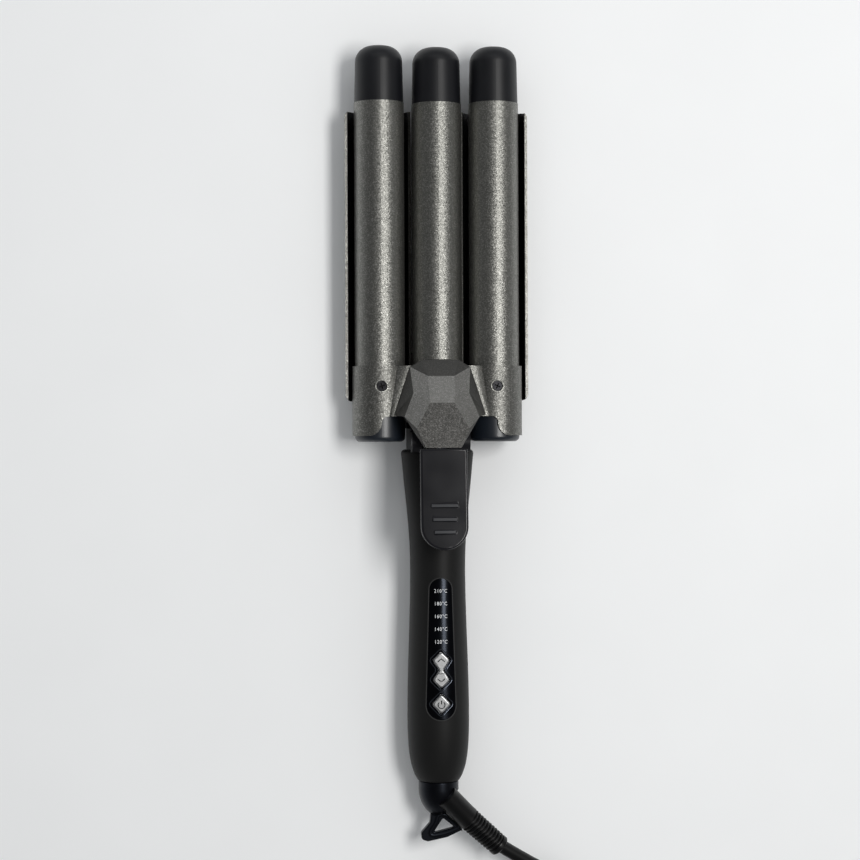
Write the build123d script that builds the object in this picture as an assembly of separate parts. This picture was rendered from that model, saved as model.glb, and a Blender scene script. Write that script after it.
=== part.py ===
from build123d import *

# Three-barrel hair waver: two sprung jaws of heated barrels on a handle with a swivelling cord.
# Millimetres. +X runs across the barrels, +Y along them to the tips, and +Z from the back of the
# waver, where it lies on a table, to the thumb lever.
import os
from math import cos, pi, radians, sin, tan

# ---------------------------------------------------------------- driving dimensions
RUN_FIT = 0.05          # radial clearance of a shaft in its bore
SLIP_FIT = 0.1          # between pieces that are assembled and then stay put
MOVE_GAP = 0.3          # between pieces that move past each other

# barrels
BARREL_R = 12.5
BARREL_WALL = 1.0
BARREL_GAP = 3.75       # free space between two neighbouring barrels
BARREL_FOOT_Y = 33.0    # where the metal tube starts
CENTRE_DROP = 0.6       # the centre barrel ends this much lower
CAP_LENGTH = 28.3
CAP_STEP = 0.25         # the cap's foot lies this far inside the barrel's surface
CAP_TAPER = 0.6         # radius lost over the cap's length
CAP_CORNER_R = 8.0
SPIGOT_LENGTH = 9.0     # how far caps and sockets reach into the barrel
SOCKET_FOOT_Y = 1.4     # lowest point of the outer sockets
SOCKET_ROUND = 2.5
CENTRE_SOCKET_FOOT_Y = 8.0
WIRE_BORE_R = 5.5

# heaters: a ceramic plate between two aluminium shoes
HEATER_LENGTH = 110.0
HEATER_SHOE = 4.6       # height of one shoe
HEATER_PLATE = 2.4
HEATER_FIT = 0.2
HEATER_END_GAP = 3.5    # between the heater and the tip cap's spigot
THERMISTOR_R = 1.4
THERMISTOR_LENGTH = 6.0

# wing plates
HAIR_GAP = 3.25         # between a barrel and the plate around it
WING_T = 1.4
WING_FOOT_Y = 21.7
WING_TIP_Y = 167.0
WING_CORNER_R = 3.5
WING_INNER_DEG = -162.0  # where the plate ends beside the centre barrel

# rear yoke
YOKE_WALL = 1.6
YOKE_HALF_WIDTH = 40.0
YOKE_TIP_Y = 46.0
YOKE_TOP_HALF_WIDTH = 34.0
YOKE_RIDGE_Z = 9.0
YOKE_CHAMFER = 3.0
RIVET_R = 1.5
RIVET_HEAD_R = 2.4
RIVET_HEAD_T = 0.5
RIVET_YS = (29.0, 40.0)

# saddle shell of the lever jaw
SLEEVE_WALL = 1.2
SLEEVE_FOOT_Y = 4.4
SLEEVE_TIP_Y = 39.0
WEB_LIFT = 0.4          # the web's clearance over the centre barrel
WEB_T = 1.5
WEB_FOOT_Y = 14.0
WEB_TOP_HALF = 15.8     # half width of the web's flat top at its upper edge
WEB_FOOT_HALF = 23.2    # and at its foot
FLANK_SLOPE = 0.575     # of the flanks from there down to the sleeves
CUT_HALF_WIDTH = 28.9   # the cut-outs that show the sockets
CUT_ROUND = 3.0
CUT_FLARE = 6.4         # radius where a cut-out turns out to the sleeve's foot
SADDLE_SCREW_Y = 29.0
SADDLE_HOLE_R = 2.65
SCREW_HEAD_R = 2.3
SCREW_HEAD_T = 1.5
SCREW_SHANK_R = 1.3
SCREW_LENGTH = 9.0
SCREW_SINK = 1.0        # head below the surface round it

# faceted cover, heights above the plane of the barrels
COVER_WALL = 1.8
COVER_LEAN = 1.25                  # height of the leaning facets' wall, as a share of its thickness
COVER_DROP = 4.5                   # front facet over the waist, below the lever's upper edge
COVER_SLOPE = 0.25                 # of that facet, rising to the lever
COVER_CHEEK = (13.0, 8.0)          # corners of the front facet: x, y
COVER_ARCH = (6.0, 20.6)
COVER_FOOT = (8.75, -1.5)
COVER_BROW = (3.0, 42.1, 15.4)     # corners on one side: x, y, height
COVER_TOP = (9.2, 41.7, 15.2)
COVER_SHOULDER = (15.0, 38.4, 15.1)
COVER_FLANK = (22.7, 14.7, 15.4)
COVER_WAIST = (18.5, 13.7, 24.0)
COVER_STRIP = (3.0, 33.7, 19.8)    # the narrow strip at the top ends here
COVER_TEMPLE = (6.5, 33.7, 19.8)   # top of the arch
COVER_CORNER = (13.8, 25.5, 21.1)  # corner of the arch between its top and the waist
COVER_CLEAR_Y = 11.0          # below this the cover's rim is raised over the hinge ears

# hinge
PIVOT_Y = 1.2
PIVOT_LIFT = 3.5        # pivot above the top of the centre barrel
PIN_R = 2.0
BOSS_R = 4.5
EAR_R = 5.0
EAR_WALL = 4.8
EAR_GAP = 0.5           # each side of the boss
CHEEK_OUT = 6.4         # outer face of the lever frame's cheeks
CHEEK_IN = 3.2
FRAME_FOOT = (12.0, 24.0)     # where the lever frame rests on the web: y limits
FRAME_PLATE = 2.0
SPRING_WIRE_R = 0.5
SPRING_COIL_R = 3.2
SPRING_TURNS = 4
SPRING_PITCH = 1.25
SPRING_LEG = 7.0

# thumb lever
LEVER_TOP_Y = -1.8
LEVER_H = 32.0          # its upper edge over the plane of the barrels
LEVER_RISE = 5.8        # degrees
LEVER_WIDTH = 23.2
LEVER_LENGTH = 49.4
LEVER_DEPTH = 4.0
LEVER_PLATE = 2.2
LEVER_WALL = 1.5
LEVER_EDGE_R = 1.2
RIB_YS = (-27.9, -34.6, -40.7)   # from the lever's upper edge
RIB_WIDTHS = (13.3, 11.8, 10.6)
RIB_HEIGHT = 0.7
RIB_BREADTH = 1.8

# handle: half widths and half depths along Y
HANDLE_Z = 16.5
HANDLE_STATIONS = (
    (-2.5, 18.4, 13.5),
    (-15.0, 17.2, 14.2),
    (-32.8, 15.4, 14.8),
    (-50.0, 14.1, 15.2),
    (-77.8, 14.0, 15.5),
    (-110.0, 15.0, 16.1),
    (-135.0, 15.45, 16.5),
    (-152.8, 14.8, 15.7),
    (-162.8, 12.9, 13.2),
    (-168.0, 10.4, 10.6),
)
HANDLE_WALL = 2.2
HANDLE_TOP_ROUND = 2.0
HANDLE_END_WALL = 4.0

# neck bracket
NECK_FOOT_Z = 2.5
NECK_TOP_GAP = 1.75     # under the boss
NECK_BORE_R = 6.0

# control panel
LENS_TOP_Y = -66.0
LENS_TOP_R = 5.6
LENS_FOOT_Y = -136.5
LENS_FOOT_R = 7.25
LENS_UNDER_Z = 28.8
ROCKER_Y = -111.55
ROCKER_SPACING = 9.9
ROCKER_HALF_WIDTH = 4.35
ROCKER_HALF_HEIGHT = 4.3
ROCKER_WAIST = 1.0
ROCKER_AXLE_R = 0.8
ROCKER_AXLE_HALF = 3.6
ROCKER_AXLE_Z = 30.2
POWER_Y = -128.3
POWER_HALF_WIDTH = 4.8
POWER_HALF_HEIGHT = 5.0
BUTTON_ROUND = 1.0
BUTTON_PROUD = 0.7
BUTTON_TRAVEL = 0.6
BUTTON_FLANGE = 0.8     # keeps the power button from falling out

# electronics
BOARD_TOP_Z = 22.5
BOARD_T = 1.6
BOARD_HALF_WIDTH = 10.2
BOARD_YS = (-143.5, -57.0)
BOARD_POST_YS = (-140.5, -60.0)
BOARD_POST_R = 2.4
BOARD_SCREW_R = 1.0
SWITCH_SIZE = 6.0
SWITCH_H = 4.0
LAMP_YS = (-72.6, -78.8, -85.2, -91.3, -97.7)
LAMP_SIZE = (3.2, 1.6, 1.2)
RELAY_SIZE = (15.0, 20.0, 8.0)
RELAY_Y = -84.0
CAPACITOR_R = 4.5
CAPACITOR_YS = (-124.0, -106.0)
LEAD_R = 0.9
LEAD_X = 4.0
LEAD_FOOT_Y = -63.5

# handle screws
SHELL_SCREW_YS = (-24.0, -47.0, -149.0)
SHELL_POST_R = 2.9
SHELL_SEAT_Z = 5.0      # underside of the screw heads
SHELL_SCREW_LENGTH = 16.0

# swivel
SWIVEL_SHANK_R = 6.0
SWIVEL_BORE_R = 3.0
BUSH_R = 8.0
BUSH_FLANGE_R = 9.6
BUSH_FLANGE_T = 2.0
BUSH_TIP_Y = -158.0
RETAINER_R = 8.0
RETAINER_T = 2.0
DOME_R = 10.0
DOME_SKIRT = 4.0
DOME_FOOT_Y = -186.0
LOOP_T = 4.6
LOOP_OUTLINE = (
    (-3.6, -181.0), (-4.6, -189.4), (-9.0, -194.4), (-8.6, -197.8),
    (-5.6, -198.8), (4.2, -196.8), (12.0, -193.2), (11.6, -188.0), (4.0, -181.0),
)
LOOP_HOLE = ((-3.0, -194.6), (2.0, -187.2), (7.9, -191.9))
LOOP_ROUND = 1.4

# strain relief: smooth elbow, ribbed tail and end collar
RELIEF_START = (4.0, -175.5, 18.0)
RELIEF_ELBOW = (14.75, -187.8, 18.5)
RELIEF_END = (31.25, -202.8, 14.5)
RELIEF_R = 6.0
RELIEF_END_R = 5.6
RELIEF_CORE_R = 4.7
RELIEF_COLLAR = 3.0
RELIEF_RINGS = 10
RELIEF_RING_T = 1.1

# cord and plug
CORD_R = 3.4
CORD_SINK = 3.0         # how far the cord's ends sit inside the pieces that hold them
COIL_CENTRE = (40.0, -280.0)
COIL_COLUMNS = 4
COIL_LAYERS = 2
COIL_MEAN_R = 40.0
PLUG_FACE_X = 34.0      # where the cord enters the plug's tail
PLUG_CLEAR = 4.4        # between the plug's tail and the coil
PLUG_TAIL = 22.0
PLUG_TAIL_R = (4.6, 7.0)
PLUG_BODY = (36.0, 35.3, 26.1)
PLUG_ROUND = 6.0
PLUG_PIN_R = 2.4
PLUG_PIN_LENGTH = 19.0
PLUG_PIN_SPACING = 19.0
PLUG_PIN_TIP = 0.8      # bevel at the pins' free ends
PLUG_ROOT_R = 1.6       # thinner root that the plug is moulded on
PLUG_ROOT_LENGTH = 8.0
PLUG_ROOT_SHOWS = 0.5   # how far the root stands out of the plug

# ---------------------------------------------------------------- places that follow from them
SLEEVE_IN_R = BARREL_R + SLIP_FIT
SLEEVE_OUT_R = SLEEVE_IN_R + SLEEVE_WALL
BARREL_X = 2 * BARREL_R + BARREL_GAP
HEATER_FOOT_Y = BARREL_FOOT_Y + SPIGOT_LENGTH + THERMISTOR_LENGTH
BARREL_TIP_Y = HEATER_FOOT_Y + HEATER_LENGTH + HEATER_END_GAP + SPIGOT_LENGTH  # where the tip cap starts
WING_IN_R = BARREL_R + HAIR_GAP
WING_OUT_R = WING_IN_R + WING_T
AXIS_Z = WING_OUT_R + YOKE_WALL           # plane of the three barrels
SIDES = {"left": -BARREL_X, "right": BARREL_X}
WEB_Z = AXIS_Z + BARREL_R + WEB_LIFT      # underside of the web
COVER_BASE_H = BARREL_R + WEB_LIFT + WEB_T
COVER_CREST_H = LEVER_H - COVER_DROP      # height of the front facet over the waist
PIVOT_Z = AXIS_Z + BARREL_R + PIVOT_LIFT
PIVOT = (0.0, PIVOT_Y, PIVOT_Z)
NECK_HALF = BARREL_X - SLEEVE_OUT_R - 2 * MOVE_GAP
EAR_IN_X = NECK_HALF - EAR_WALL
NECK_TOP_Z = PIVOT_Z - BOSS_R - NECK_TOP_GAP
HANDLE_TOP_Y = HANDLE_STATIONS[0][0]
HANDLE_FOOT_Y = HANDLE_STATIONS[-1][0]
SWIVEL_TOP_Y = HANDLE_FOOT_Y - MOVE_GAP
BUTTON_FOOT_Z = BOARD_TOP_Z + SWITCH_H + BUTTON_TRAVEL + MOVE_GAP
COIL_IN_R = COIL_MEAN_R - COIL_COLUMNS * CORD_R
COIL_OUT_R = COIL_MEAN_R + COIL_COLUMNS * CORD_R
COIL_TURN_R = COIL_OUT_R - CORD_R         # centre line of the outermost turn
COIL_H = COIL_LAYERS * 2 * CORD_R
PLUG_Y = COIL_CENTRE[1] - COIL_OUT_R - PLUG_TAIL_R[1] - PLUG_CLEAR
PLUG_Z = PLUG_BODY[2] / 2


# ---------------------------------------------------------------- small helpers
def rod(radius, start, end):
    """Round bar between two points."""
    axis = Vector(*end) - Vector(*start)
    foot = (Align.CENTER, Align.CENTER, Align.MIN)
    return Plane(origin=start, z_dir=axis) * Cylinder(radius, axis.length, align=foot)


def taper(start_radius, end_radius, start, end):
    """Round bar that narrows or widens between two points."""
    axis = Vector(*end) - Vector(*start)
    foot = (Align.CENTER, Align.CENTER, Align.MIN)
    return Plane(origin=start, z_dir=axis) * Cone(start_radius, end_radius, axis.length, align=foot)


def bar(radius, x, y_limits, z):
    """Round bar along Y."""
    return rod(radius, (x, y_limits[0], z), (x, y_limits[1], z))


def upright(radius, x, y, z_limits):
    """Round bar along Z."""
    return rod(radius, (x, y, z_limits[0]), (x, y, z_limits[1]))


def block(x, y, z):
    """Box between pairs of limits."""
    limits = (x, y, z)
    size = [high - low for low, high in limits]
    middle = [(high + low) / 2 for low, high in limits]
    return Pos(*middle) * Box(*size)


def outline(points):
    """Face in the XY plane with these corners."""
    return make_face(Polyline(*points, close=True))


def prism(face, z_limits):
    """Plan face drawn up between two heights."""
    return Pos(0, 0, z_limits[0]) * extrude(face, amount=z_limits[1] - z_limits[0])


def mirrored(points):
    """Right-hand outline corners followed by their mirror images, in order round the face."""
    return list(points) + [(-x, y) for x, y in reversed(points)]


def between(start, end, share):
    """Point part of the way between two points."""
    return tuple(a + (b - a) * share for a, b in zip(start, end))


def save(shape, node):
    """Write one node."""
    export_step(shape, f"parts/{node}.step")


def save_group(solids, node):
    """Write like pieces as one node."""
    save(Compound(children=list(solids)), node)


# ---------------------------------------------------------------- barrels
def barrel(x, tip_y):
    tube = bar(BARREL_R, x, (BARREL_FOOT_Y, tip_y), AXIS_Z)
    return tube - bar(BARREL_R - BARREL_WALL, x, (BARREL_FOOT_Y, tip_y), AXIS_Z)


def spigot(x, y_limits):
    """Part of a cap or socket that fits inside the barrel."""
    return bar(BARREL_R - BARREL_WALL - SLIP_FIT, x, y_limits, AXIS_Z)


def tip_cap(x, foot_y):
    foot_r = BARREL_R - CAP_STEP
    top = (x, foot_y + CAP_LENGTH, AXIS_Z)
    shell = taper(foot_r, foot_r - CAP_TAPER, (x, foot_y, AXIS_Z), top)
    rim = shell.edges().filter_by(GeomType.CIRCLE).sort_by(Axis.Y)[-1]
    return fillet(rim, CAP_CORNER_R) + spigot(x, (foot_y - SPIGOT_LENGTH, foot_y))


def socket(x, foot_y, round_foot):
    """Insulating base of a barrel."""
    body = bar(BARREL_R, x, (foot_y, BARREL_FOOT_Y), AXIS_Z)
    if round_foot:
        rim = body.edges().filter_by(GeomType.CIRCLE).sort_by(Axis.Y)[0]
        body = fillet(rim, SOCKET_ROUND)
    body += spigot(x, (BARREL_FOOT_Y, BARREL_FOOT_Y + SPIGOT_LENGTH))
    top_y = BARREL_FOOT_Y + SPIGOT_LENGTH
    bore_foot = foot_y + (BARREL_WALL + SOCKET_ROUND if round_foot else 0)
    return body - bar(WIRE_BORE_R, x, (bore_foot, top_y), AXIS_Z)


def heater(x):
    """Ceramic plate clamped between two aluminium shoes that touch the barrel's wall."""
    y_limits = (HEATER_FOOT_Y, HEATER_FOOT_Y + HEATER_LENGTH)
    core = bar(BARREL_R - BARREL_WALL - HEATER_FIT, x, y_limits, AXIS_Z)
    half = HEATER_PLATE / 2
    wide = (x - BARREL_R, x + BARREL_R)
    plate = core & block(wide, y_limits, (AXIS_Z - half, AXIS_Z + half))
    upper = core & block(wide, y_limits, (AXIS_Z + half, AXIS_Z + half + HEATER_SHOE))
    lower = core & block(wide, y_limits, (AXIS_Z - half - HEATER_SHOE, AXIS_Z - half))
    return [solid for part in (lower, plate, upper) for solid in part.solids()]


def thermistor(x):
    return bar(THERMISTOR_R, x, (HEATER_FOOT_Y - THERMISTOR_LENGTH, HEATER_FOOT_Y), AXIS_Z)


# ---------------------------------------------------------------- wings and yoke
def wing_plate(side):
    """Trough around an outer barrel, open to the front, drawn for the right-hand side."""
    middle_r = (WING_IN_R + WING_OUT_R) / 2
    arc = CenterArc((BARREL_X, AXIS_Z), middle_r, 0, WING_INNER_DEG)
    section = Plane.XZ.offset(-WING_TIP_Y) * trace(arc, WING_T)
    plate = extrude(section, WING_TIP_Y - WING_FOOT_Y)
    window = block((0, BARREL_X + WING_OUT_R), (WING_FOOT_Y, WING_TIP_Y), (0, 2 * AXIS_Z))
    outer_corners = window.edges().filter_by(Axis.Z).group_by(Axis.X)[-1]
    plate = plate & fillet(outer_corners, WING_CORNER_R)
    for y in RIVET_YS:
        plate -= upright(RIVET_R, BARREL_X, y, (0, AXIS_Z))
    return plate if side > 0 else mirror(plate, Plane.YZ)


def rivet(x, y):
    seat_z = AXIS_Z - WING_IN_R
    head = upright(RIVET_HEAD_R, x, y, (seat_z, seat_z + RIVET_HEAD_T))
    head &= bar(WING_IN_R, x, (y - RIVET_HEAD_R, y + RIVET_HEAD_R), AXIS_Z)
    return head + upright(RIVET_R, x, y, (SLIP_FIT, seat_z + RIVET_HEAD_T))


def yoke():
    """Cradle behind the wing plates and the centre barrel."""
    corners = [
        (YOKE_HALF_WIDTH, CENTRE_SOCKET_FOOT_Y + BARREL_R),
        (YOKE_TOP_HALF_WIDTH, YOKE_TIP_Y),
    ]
    plan = [(NECK_HALF, CENTRE_SOCKET_FOOT_Y)] + corners
    body = prism(outline(mirrored(plan)), (0, YOKE_RIDGE_Z))
    body = chamfer(body.faces().sort_by(Axis.Z)[0].edges(), YOKE_CHAMFER)
    along = (CENTRE_SOCKET_FOOT_Y, YOKE_TIP_Y)
    body -= bar(BARREL_R, 0, along, AXIS_Z)
    for x in SIDES.values():
        body -= bar(WING_OUT_R, x, along, AXIS_Z)
        for y in RIVET_YS:
            body -= upright(RIVET_R, x, y, (0, AXIS_Z))
    for y in yoke_screw_ys():
        body -= upright(SCREW_HEAD_R + SLIP_FIT, 0, y, (0, SCREW_SINK + SCREW_HEAD_T))
        body -= upright(SCREW_SHANK_R, 0, y, (0, AXIS_Z))
    return body


def yoke_screw_ys():
    middle = (CENTRE_SOCKET_FOOT_Y + BARREL_FOOT_Y) / 2
    return (middle - BARREL_R / 2, middle + BARREL_R / 2)


def yoke_screw(y):
    head_top = SCREW_SINK + SCREW_HEAD_T
    head = upright(SCREW_HEAD_R, 0, y, (SCREW_SINK, head_top))
    return head + upright(SCREW_SHANK_R, 0, y, (head_top, head_top + SCREW_LENGTH))


# ---------------------------------------------------------------- lever jaw
def saddle_screw(x):
    head_top = AXIS_Z + SLEEVE_OUT_R - SCREW_SINK
    head_foot = head_top - SCREW_HEAD_T
    head = upright(SCREW_HEAD_R, x, SADDLE_SCREW_Y, (head_foot, head_top))
    shank = upright(SCREW_SHANK_R, x, SADDLE_SCREW_Y, (head_foot - SCREW_LENGTH, head_foot))
    return head + shank


def outer_socket(x):
    """Socket with the seat of its saddle screw."""
    head_foot = AXIS_Z + SLEEVE_OUT_R - SCREW_SINK - SCREW_HEAD_T
    seat = upright(SADDLE_HOLE_R, x, SADDLE_SCREW_Y, (head_foot, AXIS_Z + SLEEVE_OUT_R))
    hole = upright(SCREW_SHANK_R, x, SADDLE_SCREW_Y, (AXIS_Z, head_foot))
    return socket(x, SOCKET_FOOT_Y, True) - seat - hole


def saddle_shell():
    """Two sleeves and the web that joins them in front of the centre barrel."""
    along = (SLEEVE_FOOT_Y, SLEEVE_TIP_Y)
    web_y = (WEB_FOOT_Y, SLEEVE_TIP_Y)
    web_z = (WEB_Z, WEB_Z + WEB_T)
    shell = block((-BARREL_R, BARREL_R), web_y, web_z)
    for side, x in ((-1, SIDES["left"]), (1, SIDES["right"])):
        flank = block(sorted((side * (BARREL_R - WEB_T), x)), web_y, (AXIS_Z + BARREL_R / 2, web_z[1]))
        edge = facet((side * WEB_TOP_HALF, SLEEVE_TIP_Y, COVER_BASE_H),
                     (side * WEB_FOOT_HALF, WEB_FOOT_Y, COVER_BASE_H),
                     (side * (WEB_FOOT_HALF + 1), WEB_FOOT_Y, COVER_BASE_H - FLANK_SLOPE))
        shell += split(flank, bisect_by=edge, keep=Keep.BOTTOM)
        shell += bar(SLEEVE_OUT_R, x, along, AXIS_Z)
    for x in SIDES.values():
        shell -= bar(SLEEVE_IN_R, x, along, AXIS_Z)
        shell -= upright(SADDLE_HOLE_R, x, SADDLE_SCREW_Y, (AXIS_Z, AXIS_Z + 2 * BARREL_R))
    shell -= bar(BARREL_R + WEB_LIFT, 0, along, AXIS_Z)
    window = block(
        (-CUT_HALF_WIDTH, CUT_HALF_WIDTH), (SLEEVE_FOOT_Y - CUT_ROUND, WEB_FOOT_Y), (0, 2 * AXIS_Z))
    top_corners = window.edges().filter_by(Axis.Z).group_by(Axis.Y)[-1]
    shell -= fillet(top_corners, CUT_ROUND)
    front = (AXIS_Z, 2 * AXIS_Z)
    flare_y = (SLEEVE_FOOT_Y, SLEEVE_FOOT_Y + CUT_FLARE)
    for side in (-1, 1):
        inner_x, outer_x = side * CUT_HALF_WIDTH, side * (CUT_HALF_WIDTH + CUT_FLARE)
        shell -= block(sorted((inner_x, outer_x)), flare_y, front) - upright(
            CUT_FLARE, outer_x, flare_y[1], front)
    return shell


def facet(*points):
    """Plane through three points of the cover (x, y, height), facing up."""
    a, b, c = (Vector(x, y, AXIS_Z + height) for x, y, height in points)
    normal = (b - a).cross(c - a)
    return Plane(origin=a, z_dir=normal if normal.Z > 0 else -normal)


def crest(y):
    """Height of the cover's front facet."""
    return COVER_CREST_H + COVER_SLOPE * (COVER_WAIST[1] - y)


# faces of the cover by their corners, a minus sign for the mirror image of a corner
COVER_MIDDLE_FACES = (
    ("arch", "cheek", "foot", "-foot", "-cheek", "-arch"),
    ("temple", "arch", "-arch", "-temple", "-strip", "strip"),
    ("strip", "-strip", "-brow", "brow"),
    ("brow", "-brow", "-brow base", "brow base"),
    ("foot", "foot base", "-foot base", "-foot"),
    ("brow base", "-brow base", "-top base", "-shoulder base", "-flank base", "-waist base",
     "-foot base", "foot base", "waist base", "flank base", "shoulder base", "top base"),
)
COVER_SIDE_FACES = (
    ("temple", "strip", "brow"), ("temple", "brow", "top"), ("temple", "top", "shoulder"),
    ("arch", "temple", "corner"), ("arch", "corner", "waist"), ("arch", "waist", "cheek"),
    ("corner", "temple", "shoulder"), ("corner", "shoulder", "flank"), ("corner", "flank", "waist"),
    ("cheek", "waist", "foot"), ("brow", "top", "top base", "brow base"),
    ("top", "shoulder", "shoulder base", "top base"),
    ("shoulder", "flank", "flank base", "shoulder base"),
    ("flank", "waist", "waist base", "flank base"), ("waist", "foot", "foot base", "waist base"),
)


def cover_form(inset, base_h):
    """The cover's outer form, or the hollow inside it when it is inset by the wall."""
    corners = {
        "brow": COVER_BROW, "top": COVER_TOP, "shoulder": COVER_SHOULDER, "flank": COVER_FLANK,
        "waist": COVER_WAIST, "foot": (*COVER_FOOT, crest(COVER_FOOT[1])),
        "cheek": (*COVER_CHEEK, crest(COVER_CHEEK[1])), "arch": (*COVER_ARCH, crest(COVER_ARCH[1])),
        "strip": COVER_STRIP, "temple": COVER_TEMPLE, "corner": COVER_CORNER,
    }
    narrow = 1 - inset / COVER_SHOULDER[0]
    drop = COVER_LEAN * inset
    points = {}
    for name, (x, y, height) in corners.items():
        y = COVER_WAIST[1] + (y - COVER_WAIST[1]) * narrow
        points[name] = (x * narrow, y, AXIS_Z + height - drop)
        points[name + " base"] = (x * narrow, y, AXIS_Z + base_h)
    points.update({"-" + name: (-x, y, z) for name, (x, y, z) in points.items()})
    loops = list(COVER_MIDDLE_FACES)
    for names in COVER_SIDE_FACES:
        loops += [names, ["-" + name for name in names]]
    faces = [make_face(Polyline(*[points[name] for name in names], close=True)) for names in loops]
    return Solid(Shell(faces))


def cover():
    wide = (-COVER_FLANK[0], COVER_FLANK[0])
    rim_z = PIVOT_Z + EAR_R + 3 * MOVE_GAP
    over_ears = block(wide, (COVER_FOOT[1], COVER_CLEAR_Y), (AXIS_Z, rim_z))
    throat = COVER_FOOT[0] - COVER_WALL
    mouth = block((-throat, throat), (COVER_FOOT[1] - COVER_WALL, COVER_CLEAR_Y),
                  (AXIS_Z, AXIS_Z + LEVER_H + LEVER_DEPTH))
    front = facet((0, 0, crest(0)), (1, 0, crest(0)), (0, COVER_CLEAR_Y, crest(COVER_CLEAR_Y)))
    mouth = split(mouth, bisect_by=front.offset(-COVER_WALL), keep=Keep.BOTTOM)
    return cover_form(0, COVER_BASE_H) - cover_form(COVER_WALL, BARREL_R / 2) - over_ears - mouth


def on_lever(shape):
    """Place a shape drawn in the lever's own frame, whose origin is its upper edge."""
    return Pos(0, LEVER_TOP_Y, AXIS_Z + LEVER_H) * Rot(-LEVER_RISE, 0, 0) * shape


def lever_outline(inset, overrun):
    """Straight sides and a round end."""
    half = LEVER_WIDTH / 2
    straight = LEVER_LENGTH - half
    sides = Pos(0, (overrun - straight) / 2) * Rectangle(2 * (half - inset), straight + overrun)
    return sides + Pos(0, -straight) * Circle(half - inset)


def thumb_lever():
    plate = extrude(lever_outline(0, 0), -LEVER_DEPTH)
    plate = fillet(plate.faces().sort_by(Axis.Z)[-1].edges(), LEVER_EDGE_R)
    hollow = Pos(0, 0, -LEVER_PLATE) * extrude(lever_outline(LEVER_WALL, LEVER_WALL), -LEVER_DEPTH)
    plate -= hollow
    for y, width in zip(RIB_YS, RIB_WIDTHS):
        plate += Pos(0, y, 0) * Box(width, RIB_BREADTH, 2 * RIB_HEIGHT)
    return on_lever(plate)


def lever_underside(y):
    """Height of the lever plate's underside over the table."""
    rise = radians(LEVER_RISE)
    return AXIS_Z + LEVER_H - LEVER_PLATE / cos(rise) + (LEVER_TOP_Y - y) * tan(rise)


def lever_frame():
    """Two cheeks from the web over the hinge boss to the lever."""
    web_top = WEB_Z + WEB_T
    back_y = PIVOT_Y - BOSS_R
    lever_foot_y = LEVER_TOP_Y - BOSS_R
    ridge_y = COVER_CLEAR_Y - 3 * MOVE_GAP
    ridge_z = AXIS_Z + COVER_CREST_H - COVER_WALL - 3 * MOVE_GAP
    side_view = [
        (back_y, PIVOT_Z), (lever_foot_y, lever_underside(lever_foot_y)),
        (LEVER_TOP_Y, lever_underside(LEVER_TOP_Y)),
        (COVER_FOOT[1], lever_underside(LEVER_TOP_Y) - 3 * MOVE_GAP), (ridge_y, ridge_z),
        (FRAME_FOOT[0] + BOSS_R, web_top + FRAME_PLATE), (FRAME_FOOT[0] + BOSS_R, web_top),
        (PIVOT_Y + BOSS_R, web_top),
    ]
    cheeks = Plane.YZ.offset(-CHEEK_OUT) * outline(side_view)
    frame = extrude(cheeks, 2 * CHEEK_OUT)
    plate = (web_top, web_top + FRAME_PLATE)
    frame += block((-CHEEK_OUT, CHEEK_OUT), FRAME_FOOT, plate)
    boss_x = EAR_IN_X - EAR_GAP
    frame += rod(BOSS_R, (-boss_x, PIVOT_Y, PIVOT_Z), (boss_x, PIVOT_Y, PIVOT_Z))
    slot = ((-CHEEK_IN, CHEEK_IN), (back_y - BOSS_R, ridge_y), (AXIS_Z, lever_underside(-BOSS_R)))
    frame -= block(*slot)
    return frame - rod(PIN_R + RUN_FIT, (-boss_x, PIVOT_Y, PIVOT_Z), (boss_x, PIVOT_Y, PIVOT_Z))


def hinge_pin():
    return rod(PIN_R, (-NECK_HALF, PIVOT_Y, PIVOT_Z), (NECK_HALF, PIVOT_Y, PIVOT_Z))


def torsion_spring():
    """Coil on the pin with one leg to the neck and one to the lever."""
    height = SPRING_TURNS * SPRING_PITCH
    coil = Helix(pitch=SPRING_PITCH, height=height, radius=SPRING_COIL_R)
    section = Plane(origin=coil @ 0, z_dir=coil % 0) * Circle(SPRING_WIRE_R)
    wire = sweep(section, path=coil, is_frenet=True)
    legs = rod(SPRING_WIRE_R, (SPRING_COIL_R, 0, 0), (SPRING_COIL_R, -SPRING_LEG, 0))
    legs += rod(SPRING_WIRE_R, (SPRING_COIL_R, 0, height), (SPRING_COIL_R, SPRING_LEG, height))
    spring = Pos(0, 0, -height / 2) * (wire + legs)
    return Pos(*PIVOT) * Rot(0, 90, 0) * spring


# ---------------------------------------------------------------- neck and handle
def handle_section(station, inset):
    y, half_width, half_depth = station
    plane = Plane(origin=(0, y, HANDLE_Z), x_dir=(1, 0, 0), z_dir=(0, 1, 0))
    return plane * Ellipse(half_width - inset, half_depth - inset)


def handle_form():
    form = loft([handle_section(station, 0) for station in HANDLE_STATIONS])
    return fillet(form.edges().sort_by(Axis.Y)[-1], HANDLE_TOP_ROUND)


def handle_hollow():
    """Room inside the shells, open at the top and closed at the cord's end."""
    stations = list(HANDLE_STATIONS[:-1])
    last_y = HANDLE_FOOT_Y + HANDLE_END_WALL
    first, last = stations[0], stations[-1]
    stations[0] = (first[0] + HANDLE_WALL, first[1], first[2])
    stations[-1] = (last_y, last[1] - HANDLE_WALL / 2, last[2] - HANDLE_WALL / 2)
    return loft([handle_section(station, HANDLE_WALL) for station in stations])


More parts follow.
